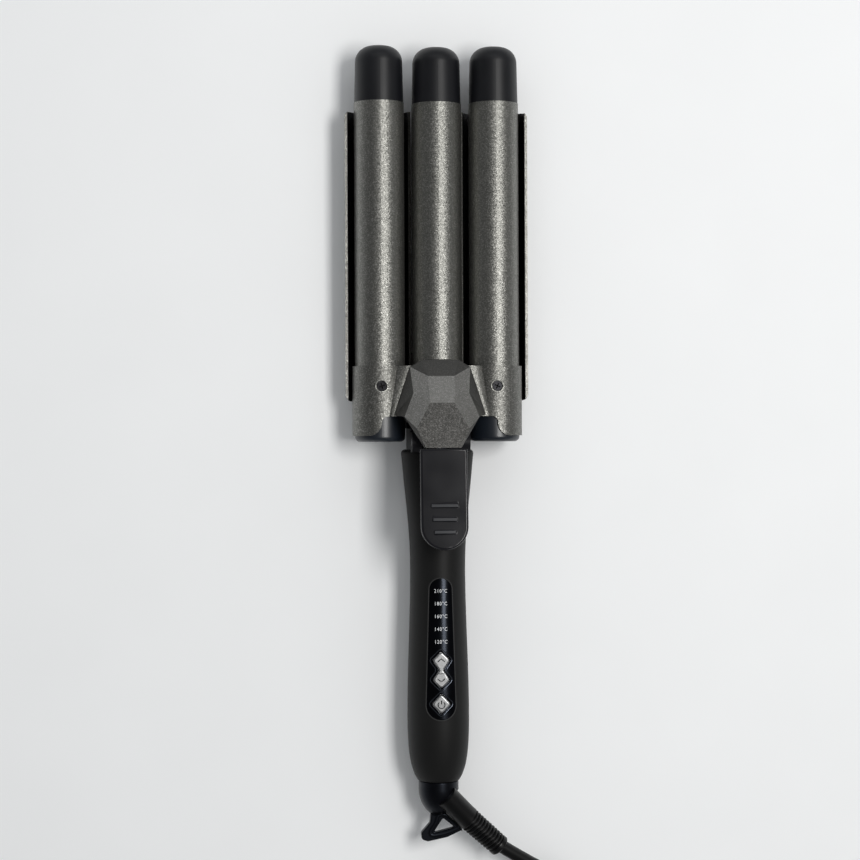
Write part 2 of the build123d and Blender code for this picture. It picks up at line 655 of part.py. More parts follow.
def lens_plan(margin):
    """Tapered slot outline of the control panel."""
    top = Pos(0, LENS_TOP_Y - LENS_TOP_R) * Circle(LENS_TOP_R + margin)
    foot = Pos(0, LENS_FOOT_Y + LENS_FOOT_R) * Circle(LENS_FOOT_R + margin)
    return make_hull(top.edges() + foot.edges())


def shell_posts(z_limits):
    """Posts of the screws that hold the two shells together."""
    posts = [upright(SHELL_POST_R, 0, y, z_limits) for y in SHELL_SCREW_YS]
    return posts


def front_shell(form, hollow):
    half = block((-50, 50), (HANDLE_FOOT_Y, HANDLE_TOP_Y), (HANDLE_Z, 3 * HANDLE_Z))
    walls = (form - hollow) & half
    inside = form & half
    for post in shell_posts((HANDLE_Z, 3 * HANDLE_Z)):
        walls += post & inside
    for y in BOARD_POST_YS:
        walls += upright(BOARD_POST_R, 0, y, (BOARD_TOP_Z, 3 * HANDLE_Z)) & inside
        walls -= upright(BOARD_SCREW_R, 0, y, (BOARD_TOP_Z, BOARD_TOP_Z + SWITCH_H))
    for y in SHELL_SCREW_YS:
        top_z = SHELL_SEAT_Z + SHELL_SCREW_LENGTH
        walls -= upright(SCREW_SHANK_R, 0, y, (HANDLE_Z, top_z))
    walls -= prism(lens_plan(SLIP_FIT), (BOARD_TOP_Z, 3 * HANDLE_Z))
    return walls - bush_room()


def rear_shell(form, hollow):
    half = block((-50, 50), (HANDLE_FOOT_Y, HANDLE_TOP_Y), (0, HANDLE_Z))
    walls = (form - hollow) & half
    inside = form & half
    for post in shell_posts((0, HANDLE_Z)):
        walls += post & inside
    for y in SHELL_SCREW_YS:
        walls -= upright(SCREW_HEAD_R + SLIP_FIT, 0, y, (0, SHELL_SEAT_Z))
        walls -= upright(SCREW_SHANK_R + SLIP_FIT, 0, y, (0, HANDLE_Z))
    return walls - bush_room()


def shell_screw(y):
    head = upright(SCREW_HEAD_R, 0, y, (SHELL_SEAT_Z - SCREW_HEAD_T, SHELL_SEAT_Z))
    tip_z = SHELL_SEAT_Z + SHELL_SCREW_LENGTH
    return head + upright(SCREW_SHANK_R, 0, y, (SHELL_SEAT_Z, tip_z))


def neck_tail():
    """Part of the neck that the handle shells grip, fitted inside their wall."""
    inset = HANDLE_WALL + MOVE_GAP
    return loft([handle_section(station, inset) for station in HANDLE_STATIONS[:2]])


def neck_bracket():
    tail = neck_tail()
    wide = (-NECK_HALF, NECK_HALF)
    along = (HANDLE_TOP_Y, CENTRE_SOCKET_FOOT_Y)
    body = tail + block(wide, along, (NECK_FOOT_Z, NECK_TOP_Z))
    ear_y = (PIVOT_Y - EAR_R, PIVOT_Y + EAR_R)
    ears = block(wide, ear_y, (NECK_TOP_Z, PIVOT_Z))
    ears += rod(EAR_R, (-NECK_HALF, PIVOT_Y, PIVOT_Z), (NECK_HALF, PIVOT_Y, PIVOT_Z))
    body += ears
    between_ears = (NECK_TOP_Z, PIVOT_Z + 2 * EAR_R)
    body -= block((-EAR_IN_X, EAR_IN_X), (ear_y[0] - EAR_R, ear_y[1] + EAR_R), between_ears)
    body -= rod(PIN_R, (-NECK_HALF, PIVOT_Y, PIVOT_Z), (NECK_HALF, PIVOT_Y, PIVOT_Z))
    bore = (HANDLE_STATIONS[1][0], CENTRE_SOCKET_FOOT_Y)
    return body - bar(NECK_BORE_R, 0, bore, AXIS_Z)


# ---------------------------------------------------------------- control panel
def button_outline(kind, margin):
    """Rounded diamond, or two of them joined at a waist."""
    if kind == "power":
        half = [(0, POWER_HALF_HEIGHT), (POWER_HALF_WIDTH, 0), (0, -POWER_HALF_HEIGHT)]
        points = half + [(-POWER_HALF_WIDTH, 0)]
        centre_y = POWER_Y
    else:
        step = ROCKER_SPACING / 2
        tip = step + ROCKER_HALF_HEIGHT
        half = [(ROCKER_HALF_WIDTH, step), (ROCKER_WAIST, 0), (ROCKER_HALF_WIDTH, -step)]
        points = [(0, tip)] + half + [(0, -tip)] + [(-x, y) for x, y in reversed(half)]
        centre_y = ROCKER_Y
    face = outline(points)
    face = fillet(face.vertices(), BUTTON_ROUND)
    if margin:
        face = offset(face, amount=margin)
    return Pos(0, centre_y) * face


def front_z(y):
    """Height of the handle's front line at y, between its stations."""
    for (y0, _, d0), (y1, _, d1) in zip(HANDLE_STATIONS, HANDLE_STATIONS[1:]):
        if y1 <= y <= y0:
            return HANDLE_Z + d0 + (d1 - d0) * (y0 - y) / (y0 - y1)
    return HANDLE_Z


def panel_lens(form):
    lens = prism(lens_plan(0), (LENS_UNDER_Z, 3 * HANDLE_Z)) & form
    for kind in ("rocker", "power"):
        lens -= prism(button_outline(kind, MOVE_GAP), (0, 3 * HANDLE_Z))
    return lens - rocker_axle(RUN_FIT)


def rocker_axle(margin):
    ends = [(side * (ROCKER_AXLE_HALF + margin), ROCKER_Y, ROCKER_AXLE_Z) for side in (-1, 1)]
    return rod(ROCKER_AXLE_R + margin, *ends)


def button(kind, y):
    top_z = front_z(y) + BUTTON_PROUD
    return prism(button_outline(kind, 0), (BUTTON_FOOT_Z, top_z))


def temperature_rocker():
    return button("rocker", ROCKER_Y) + rocker_axle(0)


def power_button():
    flange = button_outline("power", BUTTON_FLANGE)
    return button("power", POWER_Y) + prism(flange, (BUTTON_FOOT_Z, LENS_UNDER_Z - MOVE_GAP))


# ---------------------------------------------------------------- electronics
def circuit_board():
    under_z = BOARD_TOP_Z - BOARD_T
    board = block((-BOARD_HALF_WIDTH, BOARD_HALF_WIDTH), BOARD_YS, (under_z, BOARD_TOP_Z))
    for y in BOARD_POST_YS:
        board -= upright(BOARD_SCREW_R, 0, y, (under_z, BOARD_TOP_Z))
    return board


def board_screw(y):
    under_z = BOARD_TOP_Z - BOARD_T
    head = upright(2 * BOARD_SCREW_R, 0, y, (under_z - SLEEVE_WALL, under_z))
    return head + upright(BOARD_SCREW_R, 0, y, (under_z, BOARD_TOP_Z + SWITCH_H))


def tact_switches():
    half = SWITCH_SIZE / 2
    ys = (ROCKER_Y + ROCKER_SPACING / 2, ROCKER_Y - ROCKER_SPACING / 2, POWER_Y)
    for y in ys:
        body = block((-half, half), (y - half, y + half), (BOARD_TOP_Z, BOARD_TOP_Z + SWITCH_H / 2))
        yield body + upright(half / 2, 0, y, (BOARD_TOP_Z, BOARD_TOP_Z + SWITCH_H))


def temperature_lamps():
    width, length, height = LAMP_SIZE
    for y in LAMP_YS:
        yield block((-width / 2, width / 2), (y - length / 2, y + length / 2),
                    (BOARD_TOP_Z, BOARD_TOP_Z + height))


def relay():
    width, length, height = RELAY_SIZE
    under_z = BOARD_TOP_Z - BOARD_T
    return block((-width / 2, width / 2), (RELAY_Y - length / 2, RELAY_Y + length / 2),
                 (under_z - height, under_z))


def capacitor():
    return bar(CAPACITOR_R, 0, CAPACITOR_YS, BOARD_TOP_Z - BOARD_T - CAPACITOR_R)


def barrel_leads():
    """Two leads from under the board through the neck to the centre barrel's heater."""
    z = BOARD_TOP_Z - BOARD_T - LEAD_R
    tip_y = BARREL_FOOT_Y + SPIGOT_LENGTH + THERMISTOR_LENGTH
    return [bar(LEAD_R, x, (LEAD_FOOT_Y, tip_y), z) for x in (-LEAD_X, LEAD_X)]


# ---------------------------------------------------------------- swivel and strain relief
def bush_room():
    """Bore in the handle's end, with the seat of the bush's flange."""
    bore = bar(BUSH_R, 0, (HANDLE_FOOT_Y, BUSH_TIP_Y), HANDLE_Z)
    seat = (BUSH_TIP_Y - BUSH_FLANGE_T, BUSH_TIP_Y)
    return bore + bar(BUSH_FLANGE_R, 0, seat, HANDLE_Z)


def swivel_bush():
    return bush_room() - bar(SWIVEL_SHANK_R + RUN_FIT, 0, (HANDLE_FOOT_Y, BUSH_TIP_Y), HANDLE_Z)


def swivel_retainer():
    y_limits = (BUSH_TIP_Y + MOVE_GAP, BUSH_TIP_Y + MOVE_GAP + RETAINER_T)
    ring = bar(RETAINER_R, 0, y_limits, HANDLE_Z)
    return ring - bar(SWIVEL_SHANK_R, 0, y_limits, HANDLE_Z)


def strain_relief():
    """Smooth elbow, ribbed tail and end collar round the cord."""
    body = rod(RELIEF_R, RELIEF_START, RELIEF_ELBOW) + Pos(*RELIEF_ELBOW) * Sphere(RELIEF_R)
    body += taper(RELIEF_R, RELIEF_CORE_R, RELIEF_ELBOW, RELIEF_END)
    length = (Vector(*RELIEF_END) - Vector(*RELIEF_ELBOW)).length
    ribbed = length - RELIEF_COLLAR
    pitch = ribbed / (RELIEF_RINGS + 1)
    for ring in range(1, RELIEF_RINGS + 1):
        start = ring * pitch / length
        foot = between(RELIEF_ELBOW, RELIEF_END, start)
        tip = between(RELIEF_ELBOW, RELIEF_END, start + RELIEF_RING_T / length)
        body += rod(RELIEF_R + (RELIEF_END_R - RELIEF_R) * start, foot, tip)
    collar_foot = between(RELIEF_ELBOW, RELIEF_END, ribbed / length)
    body += rod(RELIEF_END_R, collar_foot, RELIEF_END)
    return body - rod(CORD_R, *cord_socket())


def cord_socket():
    """Blind hole in the strain relief's end that holds the cord."""
    length = (Vector(*RELIEF_END) - Vector(*RELIEF_ELBOW)).length
    return between(RELIEF_ELBOW, RELIEF_END, 1 - CORD_SINK / length), RELIEF_END


def swivel_housing(relief):
    """Shank in the bush, dome and hanging loop in one moulding."""
    skirt_y = SWIVEL_TOP_Y - DOME_SKIRT
    shank = (skirt_y, BUSH_TIP_Y + MOVE_GAP + RETAINER_T)
    body = bar(DOME_R, 0, (skirt_y, SWIVEL_TOP_Y), HANDLE_Z)
    depth = skirt_y - DOME_FOOT_Y
    dome = make_face(
        EllipticalCenterArc((0, 0), DOME_R, depth, 270, arc_size=90)
        + Line((DOME_R, 0), (0, 0)) + Line((0, 0), (0, -depth)))
    body += Pos(0, skirt_y, HANDLE_Z) * revolve(dome, Axis.Y)
    plan = fillet(outline(LOOP_OUTLINE).vertices(), LOOP_ROUND)
    plan -= fillet(outline(LOOP_HOLE).vertices(), LOOP_ROUND / 2)
    half = LOOP_T / 2
    body += prism(plan, (HANDLE_Z - half, HANDLE_Z + half))
    body += bar(SWIVEL_SHANK_R, 0, shank, HANDLE_Z)
    body -= bar(SWIVEL_BORE_R, 0, shank, HANDLE_Z)
    body -= relief
    return body - rod(RELIEF_R, RELIEF_START, RELIEF_ELBOW)


# ---------------------------------------------------------------- cord and plug
def coil_point(angle, z, out=0.0):
    """Point on the outermost turn's centre line, or further out."""
    turn = radians(angle)
    radius = COIL_TURN_R + out
    return (COIL_CENTRE[0] + radius * cos(turn), COIL_CENTRE[1] + radius * sin(turn), z)


def cord_tube(route, name):
    """Tube along straight runs joined by arcs as large as the runs allow."""
    points = [Vector(*point) for point in route]
    runs = [b - a for a, b in zip(points, points[1:])]
    radii = []
    for before, after in zip(runs, runs[1:]):
        turn = radians(before.get_angle(after))
        radii.append(0.45 * min(before.length, after.length) / tan(turn / 2))
    path = FilletPolyline(*points, radius=radii)
    section = Plane(origin=path @ 0, z_dir=path % 0) * Circle(CORD_R)
    tube = sweep(section, path=path)
    print(name, "radii", [round(radius, 1) for radius in radii], "length", round(path.length, 1),
          "volume ratio", round(tube.volume / (pi * CORD_R ** 2 * path.length), 4),
          "runs", [round(run.length, 1) for run in runs])
    return tube


def lead_route():
    """From the strain relief down to the table and round into the coil."""
    return [
        cord_socket()[0],
        (43.0, -210.0, 11.6),
        coil_point(71.7, 2 * CORD_R, 4 * CORD_R),
        coil_point(53.4, 1.3 * CORD_R, 2.3 * CORD_R),
        coil_point(25.0, CORD_R),
    ]


def tail_route():
    """From the coil's upper layer to the plug."""
    upper_z = COIL_H - CORD_R
    return [
        coil_point(320.5, upper_z),
        (PLUG_FACE_X + 2.6 * PLUG_TAIL_R[1], PLUG_Y + 0.86 * PLUG_TAIL_R[1], PLUG_Z - 2.0),
        (PLUG_FACE_X + 1.6 * PLUG_TAIL_R[1], PLUG_Y + 0.29 * PLUG_TAIL_R[1], PLUG_Z - 1.2),
        (PLUG_FACE_X + PLUG_TAIL_R[1] / 2, PLUG_Y, PLUG_Z - 0.4),
        (PLUG_FACE_X - CORD_SINK, PLUG_Y, PLUG_Z),
    ]


def cord_coil():
    body = upright(COIL_OUT_R, *COIL_CENTRE, (0, COIL_H))
    return body - upright(COIL_IN_R, *COIL_CENTRE, (0, COIL_H))


def plug_body():
    face_x = PLUG_FACE_X - PLUG_TAIL
    length, width, height = PLUG_BODY
    body = block((face_x - length, face_x), (PLUG_Y - width / 2, PLUG_Y + width / 2), (0, height))
    body = fillet(body.edges().filter_by(Axis.X) + body.faces().sort_by(Axis.X)[-1].edges(),
                  PLUG_ROUND)
    body += taper(*PLUG_TAIL_R, (PLUG_FACE_X, PLUG_Y, PLUG_Z), (face_x - 1, PLUG_Y, PLUG_Z))
    for pin in plug_pins():
        body -= pin
    return body


def plug_pins():
    face_x = PLUG_FACE_X - PLUG_TAIL - PLUG_BODY[0]
    for side in (-1, 1):
        y = PLUG_Y + side * PLUG_PIN_SPACING / 2
        step = (face_x - PLUG_ROOT_SHOWS, y, PLUG_Z)
        pin = rod(PLUG_PIN_R, step, (face_x - PLUG_PIN_LENGTH, y, PLUG_Z))
        tip_rim = pin.edges().filter_by(GeomType.CIRCLE).sort_by(Axis.X)[0]
        yield chamfer(tip_rim, PLUG_PIN_TIP) + rod(PLUG_ROOT_R, (face_x + PLUG_ROOT_LENGTH, y, PLUG_Z), step)


# ---------------------------------------------------------------- build
def build_barrels():
    for name, x in SIDES.items():
        save(barrel(x, BARREL_TIP_Y), f"{name}_barrel")
        save(tip_cap(x, BARREL_TIP_Y), f"{name}_tip_cap")
        save(outer_socket(x), f"{name}_barrel_socket")
        save_group(heater(x), f"{name}_heater")
    centre_tip_y = BARREL_TIP_Y - CENTRE_DROP
    save(barrel(0, centre_tip_y), "centre_barrel")
    save(tip_cap(0, centre_tip_y), "centre_tip_cap")
    centre_socket = socket(0, CENTRE_SOCKET_FOOT_Y, False)
    for y in yoke_screw_ys():
        centre_socket -= upright(SCREW_SHANK_R, 0, y, (0, AXIS_Z))
    save(centre_socket, "centre_barrel_socket")
    save_group(heater(0), "centre_heater")
    save(thermistor(0), "thermistor")


def build_rear_jaw():
    for name, x in SIDES.items():
        save(wing_plate(x), f"{name}_wing_plate")
    save(yoke(), "rear_yoke")
    save_group([yoke_screw(y) for y in yoke_screw_ys()], "yoke_screws")
    save_group([rivet(x, y) for x in SIDES.values() for y in RIVET_YS], "wing_rivets")
    save(neck_bracket(), "neck_bracket")
    save(hinge_pin(), "hinge_pin")


def build_lever_jaw():
    save(saddle_shell(), "saddle_shell")
    save_group([saddle_screw(x) for x in SIDES.values()], "saddle_screws")
    save(cover(), "centre_cover")
    save(lever_frame(), "lever_frame")
    save(thumb_lever(), "thumb_lever")
    save(torsion_spring(), "torsion_spring")


def build_handle():
    form = handle_form()
    hollow = handle_hollow()
    save(front_shell(form, hollow), "handle_front_shell")
    save(rear_shell(form, hollow), "handle_rear_shell")
    save_group([shell_screw(y) for y in SHELL_SCREW_YS], "handle_screws")
    save(panel_lens(form), "panel_lens")
    save(temperature_rocker(), "temperature_rocker")
    save(power_button(), "power_button")


def build_electronics():
    save(circuit_board(), "circuit_board")
    save_group([board_screw(y) for y in BOARD_POST_YS], "board_screws")
    save_group(tact_switches(), "tact_switches")
    save_group(temperature_lamps(), "temperature_lamps")
    save(relay(), "relay")
    save(capacitor(), "capacitor")
    save_group(barrel_leads(), "barrel_leads")


def build_cord():
    relief = strain_relief()
    save(swivel_bush(), "swivel_bush")
    save(swivel_retainer(), "swivel_retainer")
    save(relief, "strain_relief")
    save(swivel_housing(relief), "swivel_housing")
    save(cord_tube(lead_route(), "cord lead"), "cord_lead")
    save(cord_coil(), "cord_coil")
    save(cord_tube(tail_route(), "cord tail"), "cord_tail")
    save(plug_body(), "plug_body")
    save_group(plug_pins(), "plug_pins")


os.makedirs("parts", exist_ok=True)
build_barrels()
build_rear_jaw()
build_lever_jaw()
build_handle()
build_electronics()
build_cord()
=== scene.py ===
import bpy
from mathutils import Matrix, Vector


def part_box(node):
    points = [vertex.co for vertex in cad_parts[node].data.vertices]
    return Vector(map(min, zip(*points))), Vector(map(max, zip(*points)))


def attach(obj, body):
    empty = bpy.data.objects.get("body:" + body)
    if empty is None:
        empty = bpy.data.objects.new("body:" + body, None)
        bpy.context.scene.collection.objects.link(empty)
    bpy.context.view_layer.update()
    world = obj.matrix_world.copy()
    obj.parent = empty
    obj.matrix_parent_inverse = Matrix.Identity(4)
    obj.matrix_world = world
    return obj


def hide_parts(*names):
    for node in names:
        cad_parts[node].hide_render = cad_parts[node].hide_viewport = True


bl_info = {
    "name": "Hair waver",
    "version": (1, 0, 0),
    "blender": (4, 5, 0),
    "location": "3D View > Sidebar > Hair waver",
    "description": "Dresses the hair waver with its finishes, fine pieces, mains cord and stage",
    "category": "Object",
}

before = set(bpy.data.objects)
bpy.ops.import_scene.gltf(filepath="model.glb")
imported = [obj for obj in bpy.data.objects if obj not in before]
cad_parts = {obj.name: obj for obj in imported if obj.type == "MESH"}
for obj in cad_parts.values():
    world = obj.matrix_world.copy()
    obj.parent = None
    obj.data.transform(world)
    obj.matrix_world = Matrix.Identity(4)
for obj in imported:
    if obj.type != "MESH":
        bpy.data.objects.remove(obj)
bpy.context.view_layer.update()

from math import asin, cos, pi, radians, sin, sqrt

import bpy
from bpy.props import FloatProperty, FloatVectorProperty, IntProperty, PointerProperty
from mathutils import Matrix, Vector

MM = 0.001
ABOVE_ALL = 0.2  # a height over every piece, from which rays are cast down


# ---- user settings
def linear(code):
    """sRGB hex, such as "4A4844", as the linear RGBA that shaders take."""
    shares = [int(code[i:i + 2], 16) / 255 for i in (0, 2, 4)]
    return (*[s / 12.92 if s <= 0.04045 else ((s + 0.055) / 1.055) ** 2.4 for s in shares], 1.0)


def number(name, description, default, **limits):
    """A plain number that a user may change."""
    return FloatProperty(name=name, description=description, default=default, **limits)


def size(name, description, default):
    """A length that a user may change, in metres."""
    return number(name, description, default, min=0.0, precision=5, unit="LENGTH", subtype="DISTANCE")


def slant(name, description, default):
    """An angle that a user may change."""
    return number(name, description, default, unit="ROTATION", subtype="ANGLE")


def colour(name, description, code):
    """A colour that a user may change."""
    return FloatVectorProperty(name=name, description=description, default=linear(code),
                               size=4, min=0.0, max=1.0, subtype="COLOR")


class WAVER_PG_stage(bpy.types.PropertyGroup):
    target: FloatVectorProperty(
        name="Target", description="Point that the camera looks at", size=3,
        default=(-3.75 * MM, 7.2 * MM, 18.75 * MM), precision=5, unit="LENGTH", subtype="TRANSLATION")
    distance: size("Distance", "From the camera to its target", 1.076)
    turn: slant("Turn", "How far the camera stands to the left of straight ahead", radians(5.4))
    roll: slant("Roll", "Tilt of the picture", radians(-0.25))
    lens: number("Lens", "Focal length on a 36 mm sensor", 90.0, min=20.0, unit="CAMERA")
    key_power: number("Key lamp", "Soft lamp, a little to the right", 8.5, min=0.0, unit="POWER")
    top_power: number("Top lamp", "Wide lamp beyond the tips", 2.0, min=0.0, unit="POWER")
    daylight: number("Daylight", "Even light from all round", 0.40, min=0.0)
    backdrop: number("Backdrop", "Brightness of the surroundings that the camera sees", 0.88, min=0.0)
    walls: number("Walls", "Brightness that gloss reflects from low down all round", 0.3, min=0.0)
    ceiling: number("Ceiling", "Brightness that gloss reflects from overhead", 0.05, min=0.0)
    floor_colour: colour("Floor", "Plain pale floor", "F8F9FA")


class WAVER_PG_finish(bpy.types.PropertyGroup):
    coating: colour("Coating", "Ceramic coating of the barrels", "7A7A76")
    flake: colour("Flake", "Metal flakes in the coating", "AAA9A5")
    flake_size: size("Flake size", "Width of one flake, coarse enough to be seen", 0.5 * MM)
    cover: colour("Cover", "Metallic paint of the centre cover", "8C8B88")
    soft_touch: colour("Soft touch", "Paint of the handle", "1B1B1B")
    moulded: colour("Moulded black", "Tip caps and yoke", "121317")
    satin: colour("Satin black", "Lever and neck bracket", "1B1B1E")
    socket: colour("Socket black", "Barrel sockets", "1A2028")
    gloss: colour("Gloss black", "Control lens and swivel", "030304")
    silver: colour("Silver", "Paint of the buttons", "AFB0B1")
    # painted highlight: the paler colour on the tops of the lever's grip ridges
    ridge: colour("Ridges", "Buffed tops of the lever's grip ridges", "36373A")
    rubber: colour("Rubber", "Cord, strain relief and plug", "0A0A0B")
    print_colour: colour("Print", "Printed temperatures", "F2F4F6")


class WAVER_PG_cord(bpy.types.PropertyGroup):
    diameter: size("Diameter", "Across the mains cord", 6.8 * MM)
    length: size("Length", "Of the whole cord, from strain relief to plug", 1.7)
    coil_radius: size("Coil radius", "Centre line of the coil's outermost turn", 50.2 * MM)
    layer_turns: number("Turns", "Turns in each of the two layers", 3.09, min=1.0)
    turn_points: IntProperty(
        name="Points", description="Points of the coil in one turn", default=24, min=12)


class WAVER_PG_panel(bpy.types.PropertyGroup):
    label_height: size("Label height", "Of the printed figures", 1.8 * MM)
    first_label: number("First label", "Where the highest temperature is printed", -72.5 * MM,
                        precision=5, unit="LENGTH")
    label_step: size("Label step", "From one temperature to the next", 6.29 * MM)
    symbol_width: size("Symbol width", "Of the raised strokes on the buttons", 0.6 * MM)
    frame_gap: size("Frame gap", "From a button to the bead round it", 1.15 * MM)
    frame_width: size("Frame width", "Of the bead round a button", 0.4 * MM)
    lip_width: size("Lip width", "Of the handle's lip round the lens", 0.6 * MM)


class WAVER_PG_relief(bpy.types.PropertyGroup):
    rings: IntProperty(name="Rings", description="Rings of the strain relief", default=11, min=1)
    first_ring: size("First ring", "From the elbow", 0.9 * MM)
    pitch: size("Pitch", "From one ring to the next", 1.98 * MM)
    jog: size("Jog", "How far the two halves of a ring are apart along the boot", 0.75 * MM)
    ring_width: size("Ring width", "Across one ring", 1.0 * MM)
    elbow_radius: size("Elbow radius", "Of the smooth part", 6.0 * MM)
    end_radius: size("End radius", "Of the last ring and the collar", 5.5 * MM)
    core_drop: size("Core drop", "How far the core lies below the rings", 1.0 * MM)
    collar: size("Collar", "Length of the plain end", 2.6 * MM)


# ---- helpers
def add(tree, kind, inputs=None, **settings):
    """Add a shader node with its settings, and give its inputs their values or links."""
    made = tree.nodes.new(kind)
    for key, value in settings.items():
        setattr(made, key, value)
    for key, value in (inputs or {}).items():
        if isinstance(value, bpy.types.NodeSocket):
            tree.links.new(value, made.inputs[key])
        else:
            made.inputs[key].default_value = value
    return made


def socket_name(key):
    """Name of the shader's socket that an argument such as base_color stands for."""
    return key.replace("_", " ").title().replace("Ior", "IOR")


def new_material(name, **constants):
    """Material with these constants on its shader's own sockets."""
    material = bpy.data.materials.new(name)
    material.use_nodes = True
    shader = material.node_tree.nodes["Principled BSDF"]
    for key, value in constants.items():
        shader.inputs[socket_name(key)].default_value = value
    return material, material.node_tree


def feed(material, **outputs):
    """Link outputs to the sockets of these names on the material's shader."""
    shader = material.node_tree.nodes["Principled BSDF"]
    for key, output in outputs.items():
        material.node_tree.links.new(output, shader.inputs[socket_name(key)])
    return material


def place(tree):
    """Object coordinates, in metres."""
    return add(tree, "ShaderNodeTexCoord").outputs["Object"]


def grain(tree, step, detail=2.0, **inputs):
    """Noise from 0 to 1 whose features are step metres wide."""
    settings = {"Vector": place(tree), "Scale": 0.5 / step, "Detail": detail, **inputs}
    return add(tree, "ShaderNodeTexNoise", settings).outputs["Fac"]


def shades(tree, share, dark, light, low=0.3, high=0.7):
    """Colour between two as share runs from low to high."""
    ramp = add(tree, "ShaderNodeValToRGB", {"Fac": share})
    ramp.color_ramp.elements[0].position = low
    ramp.color_ramp.elements[0].color = dark
    ramp.color_ramp.elements[1].position = high
    ramp.color_ramp.elements[1].color = light
    return ramp.outputs["Color"]


def between(tree, share, low, high):
    """Number that runs from low to high with share."""
    made = add(tree, "ShaderNodeMapRange", {"Value": share, "To Min": low, "To Max": high})
    return made.outputs["Result"]


def relief(tree, height, depth):
    """Bump normal of a texture that is depth metres deep."""
    bump = add(tree, "ShaderNodeBump", {"Height": height, "Distance": depth, "Strength": 1.0})
    return bump.outputs["Normal"]


def tint(colour_value, factor):
    """A colour made darker or lighter."""
    return (*[min(1.0, c * factor) for c in colour_value[:3]], 1.0)


def select_only(piece):
    """Make this piece the only one that operators work on."""
    bpy.ops.object.select_all(action="DESELECT")
    piece.select_set(True)
    bpy.context.view_layer.objects.active = piece


def in_scene(name, data):
    """New object in the scene with this data."""
    piece = bpy.data.objects.new(name, data)
    bpy.context.scene.collection.objects.link(piece)
    return piece


def as_mesh(piece):
    """Turn a curve or a text into a mesh."""
    select_only(piece)
    bpy.ops.object.convert(target="MESH")
    return bpy.context.view_layer.objects.active


def modify(piece, kind, **settings):
    """Give a piece a modifier with these settings, and apply it."""
    select_only(piece)
    bpy.ops.object.modifier_add(type=kind)
    modifier = piece.modifiers[-1]
    for key, value in settings.items():
        setattr(modifier, key, value)
    bpy.ops.object.modifier_apply(modifier=modifier.name)


MERGED = 1e-6  # points nearer than this are one


def merge_outwards():
    """Merge the doubled points of the active mesh and turn its faces outwards."""
    bpy.ops.object.mode_set(mode="EDIT")
    bpy.ops.mesh.select_all(action="SELECT")
    bpy.ops.mesh.remove_doubles(threshold=MERGED)
    bpy.ops.mesh.normals_make_consistent(inside=False)
    bpy.ops.object.mode_set(mode="OBJECT")


def finish_piece(piece, name, body, material, replaced=(), smooth=30.0):
    """Give a piece its final mesh, name, body, material and slot, and name the nodes it replaces."""
    select_only(piece)
    if piece.type != "MESH":
        piece = as_mesh(piece)
    bpy.ops.object.transform_apply()
    if smooth:
        bpy.ops.object.shade_smooth_by_angle(angle=radians(smooth))
        modify(piece, "WEIGHTED_NORMAL", keep_sharp=True)
    piece.name = piece.data.name = name
    piece.data.materials.clear()
    piece.data.materials.append(material)
    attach(piece, body)
    if replaced:
        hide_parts(*replaced)
    return piece


def paint(material, *nodes):
    """Give CAD nodes their material."""
    for name in nodes:
        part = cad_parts[name]
        part.data.materials.clear()
        part.data.materials.append(material)


def worked_copy(name):
    """Copy of a CAD node's mesh, merged and with its flat faces joined, ready to be worked on."""
    piece = in_scene(name + "_copy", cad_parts[name].data.copy())
    select_only(piece)
    bpy.ops.mesh.customdata_custom_splitnormals_clear()
    bpy.ops.object.mode_set(mode="EDIT")
    bpy.ops.mesh.select_all(action="SELECT")
    bpy.ops.mesh.remove_doubles(threshold=2e-6)
    bpy.ops.mesh.dissolve_limited(angle_limit=radians(0.6))
    bpy.ops.object.mode_set(mode="OBJECT")
    return piece


def soften(piece, width, angle, segments=3, clamp=True):
    """Round the piece's sharp edges; with clamp, no more than their neighbours leave room for."""
    modify(piece, "BEVEL", width=width, segments=segments, limit_method="ANGLE",
           angle_limit=radians(angle), use_clamp_overlap=clamp, miter_outer="MITER_ARC")
    return piece


def softened(name, body, material, width, angle, segments=3, clamp=True):
    """A CAD node's shape with its edges rounded, in place of the node."""
    piece = soften(worked_copy(name), width, angle, segments, clamp)
    return finish_piece(piece, name + "_finished", body, material, (name,))


def front_of(piece, x, y, lift=0.0):
    """Point on the front of a piece at (x, y), or a little off it."""
    hit, spot, _, _ = piece.ray_cast((x, y, ABOVE_ALL), (0, 0, -1))
    if not hit:
        raise RuntimeError(f"{piece.name} has nothing at {x}, {y}")
    return Vector((x, y, spot.z + lift))


def bead(name, strokes, width, kind="POLY", closed=False):
    """Round bead along each stroke, as a curve."""
    curve = bpy.data.curves.new(name, "CURVE")
    curve.dimensions = "3D"
    for stroke in strokes:
        spline = curve.splines.new(kind)
        spline.points.add(len(stroke) - 1)
        for point, spot in zip(spline.points, stroke):
            point.co = (*spot, 1.0)
        spline.use_cyclic_u = closed
        if kind == "NURBS":
            spline.order_u = 3
            spline.use_endpoint_u = not closed
            spline.resolution_u = 6
    curve.bevel_depth = width / 2
    curve.bevel_resolution = 3
    curve.use_fill_caps = not closed
    return in_scene(name, curve)


def finished_bead(name, strokes, width, body, material, closed=True):
    """Round bead along each stroke, as a finished piece."""
    return finish_piece(bead(name, strokes, width, closed=closed), name, body, material)


def cut(piece, cutter, operation="DIFFERENCE"):
    """Cut a piece with another, which is used up."""
    modify(piece, "BOOLEAN", operation=operation, solver="EXACT", object=cutter)
    bpy.data.objects.remove(cutter)


CROSS_BLADE = (1.3, 0.26, 0.9)  # length, width and height of a cross blade, in head radii
CROSS_DEPTH = 0.5  # how deep and how far out a recess reaches, in head radii; faces within it are painted as shade
CROSS_REACH = 0.8


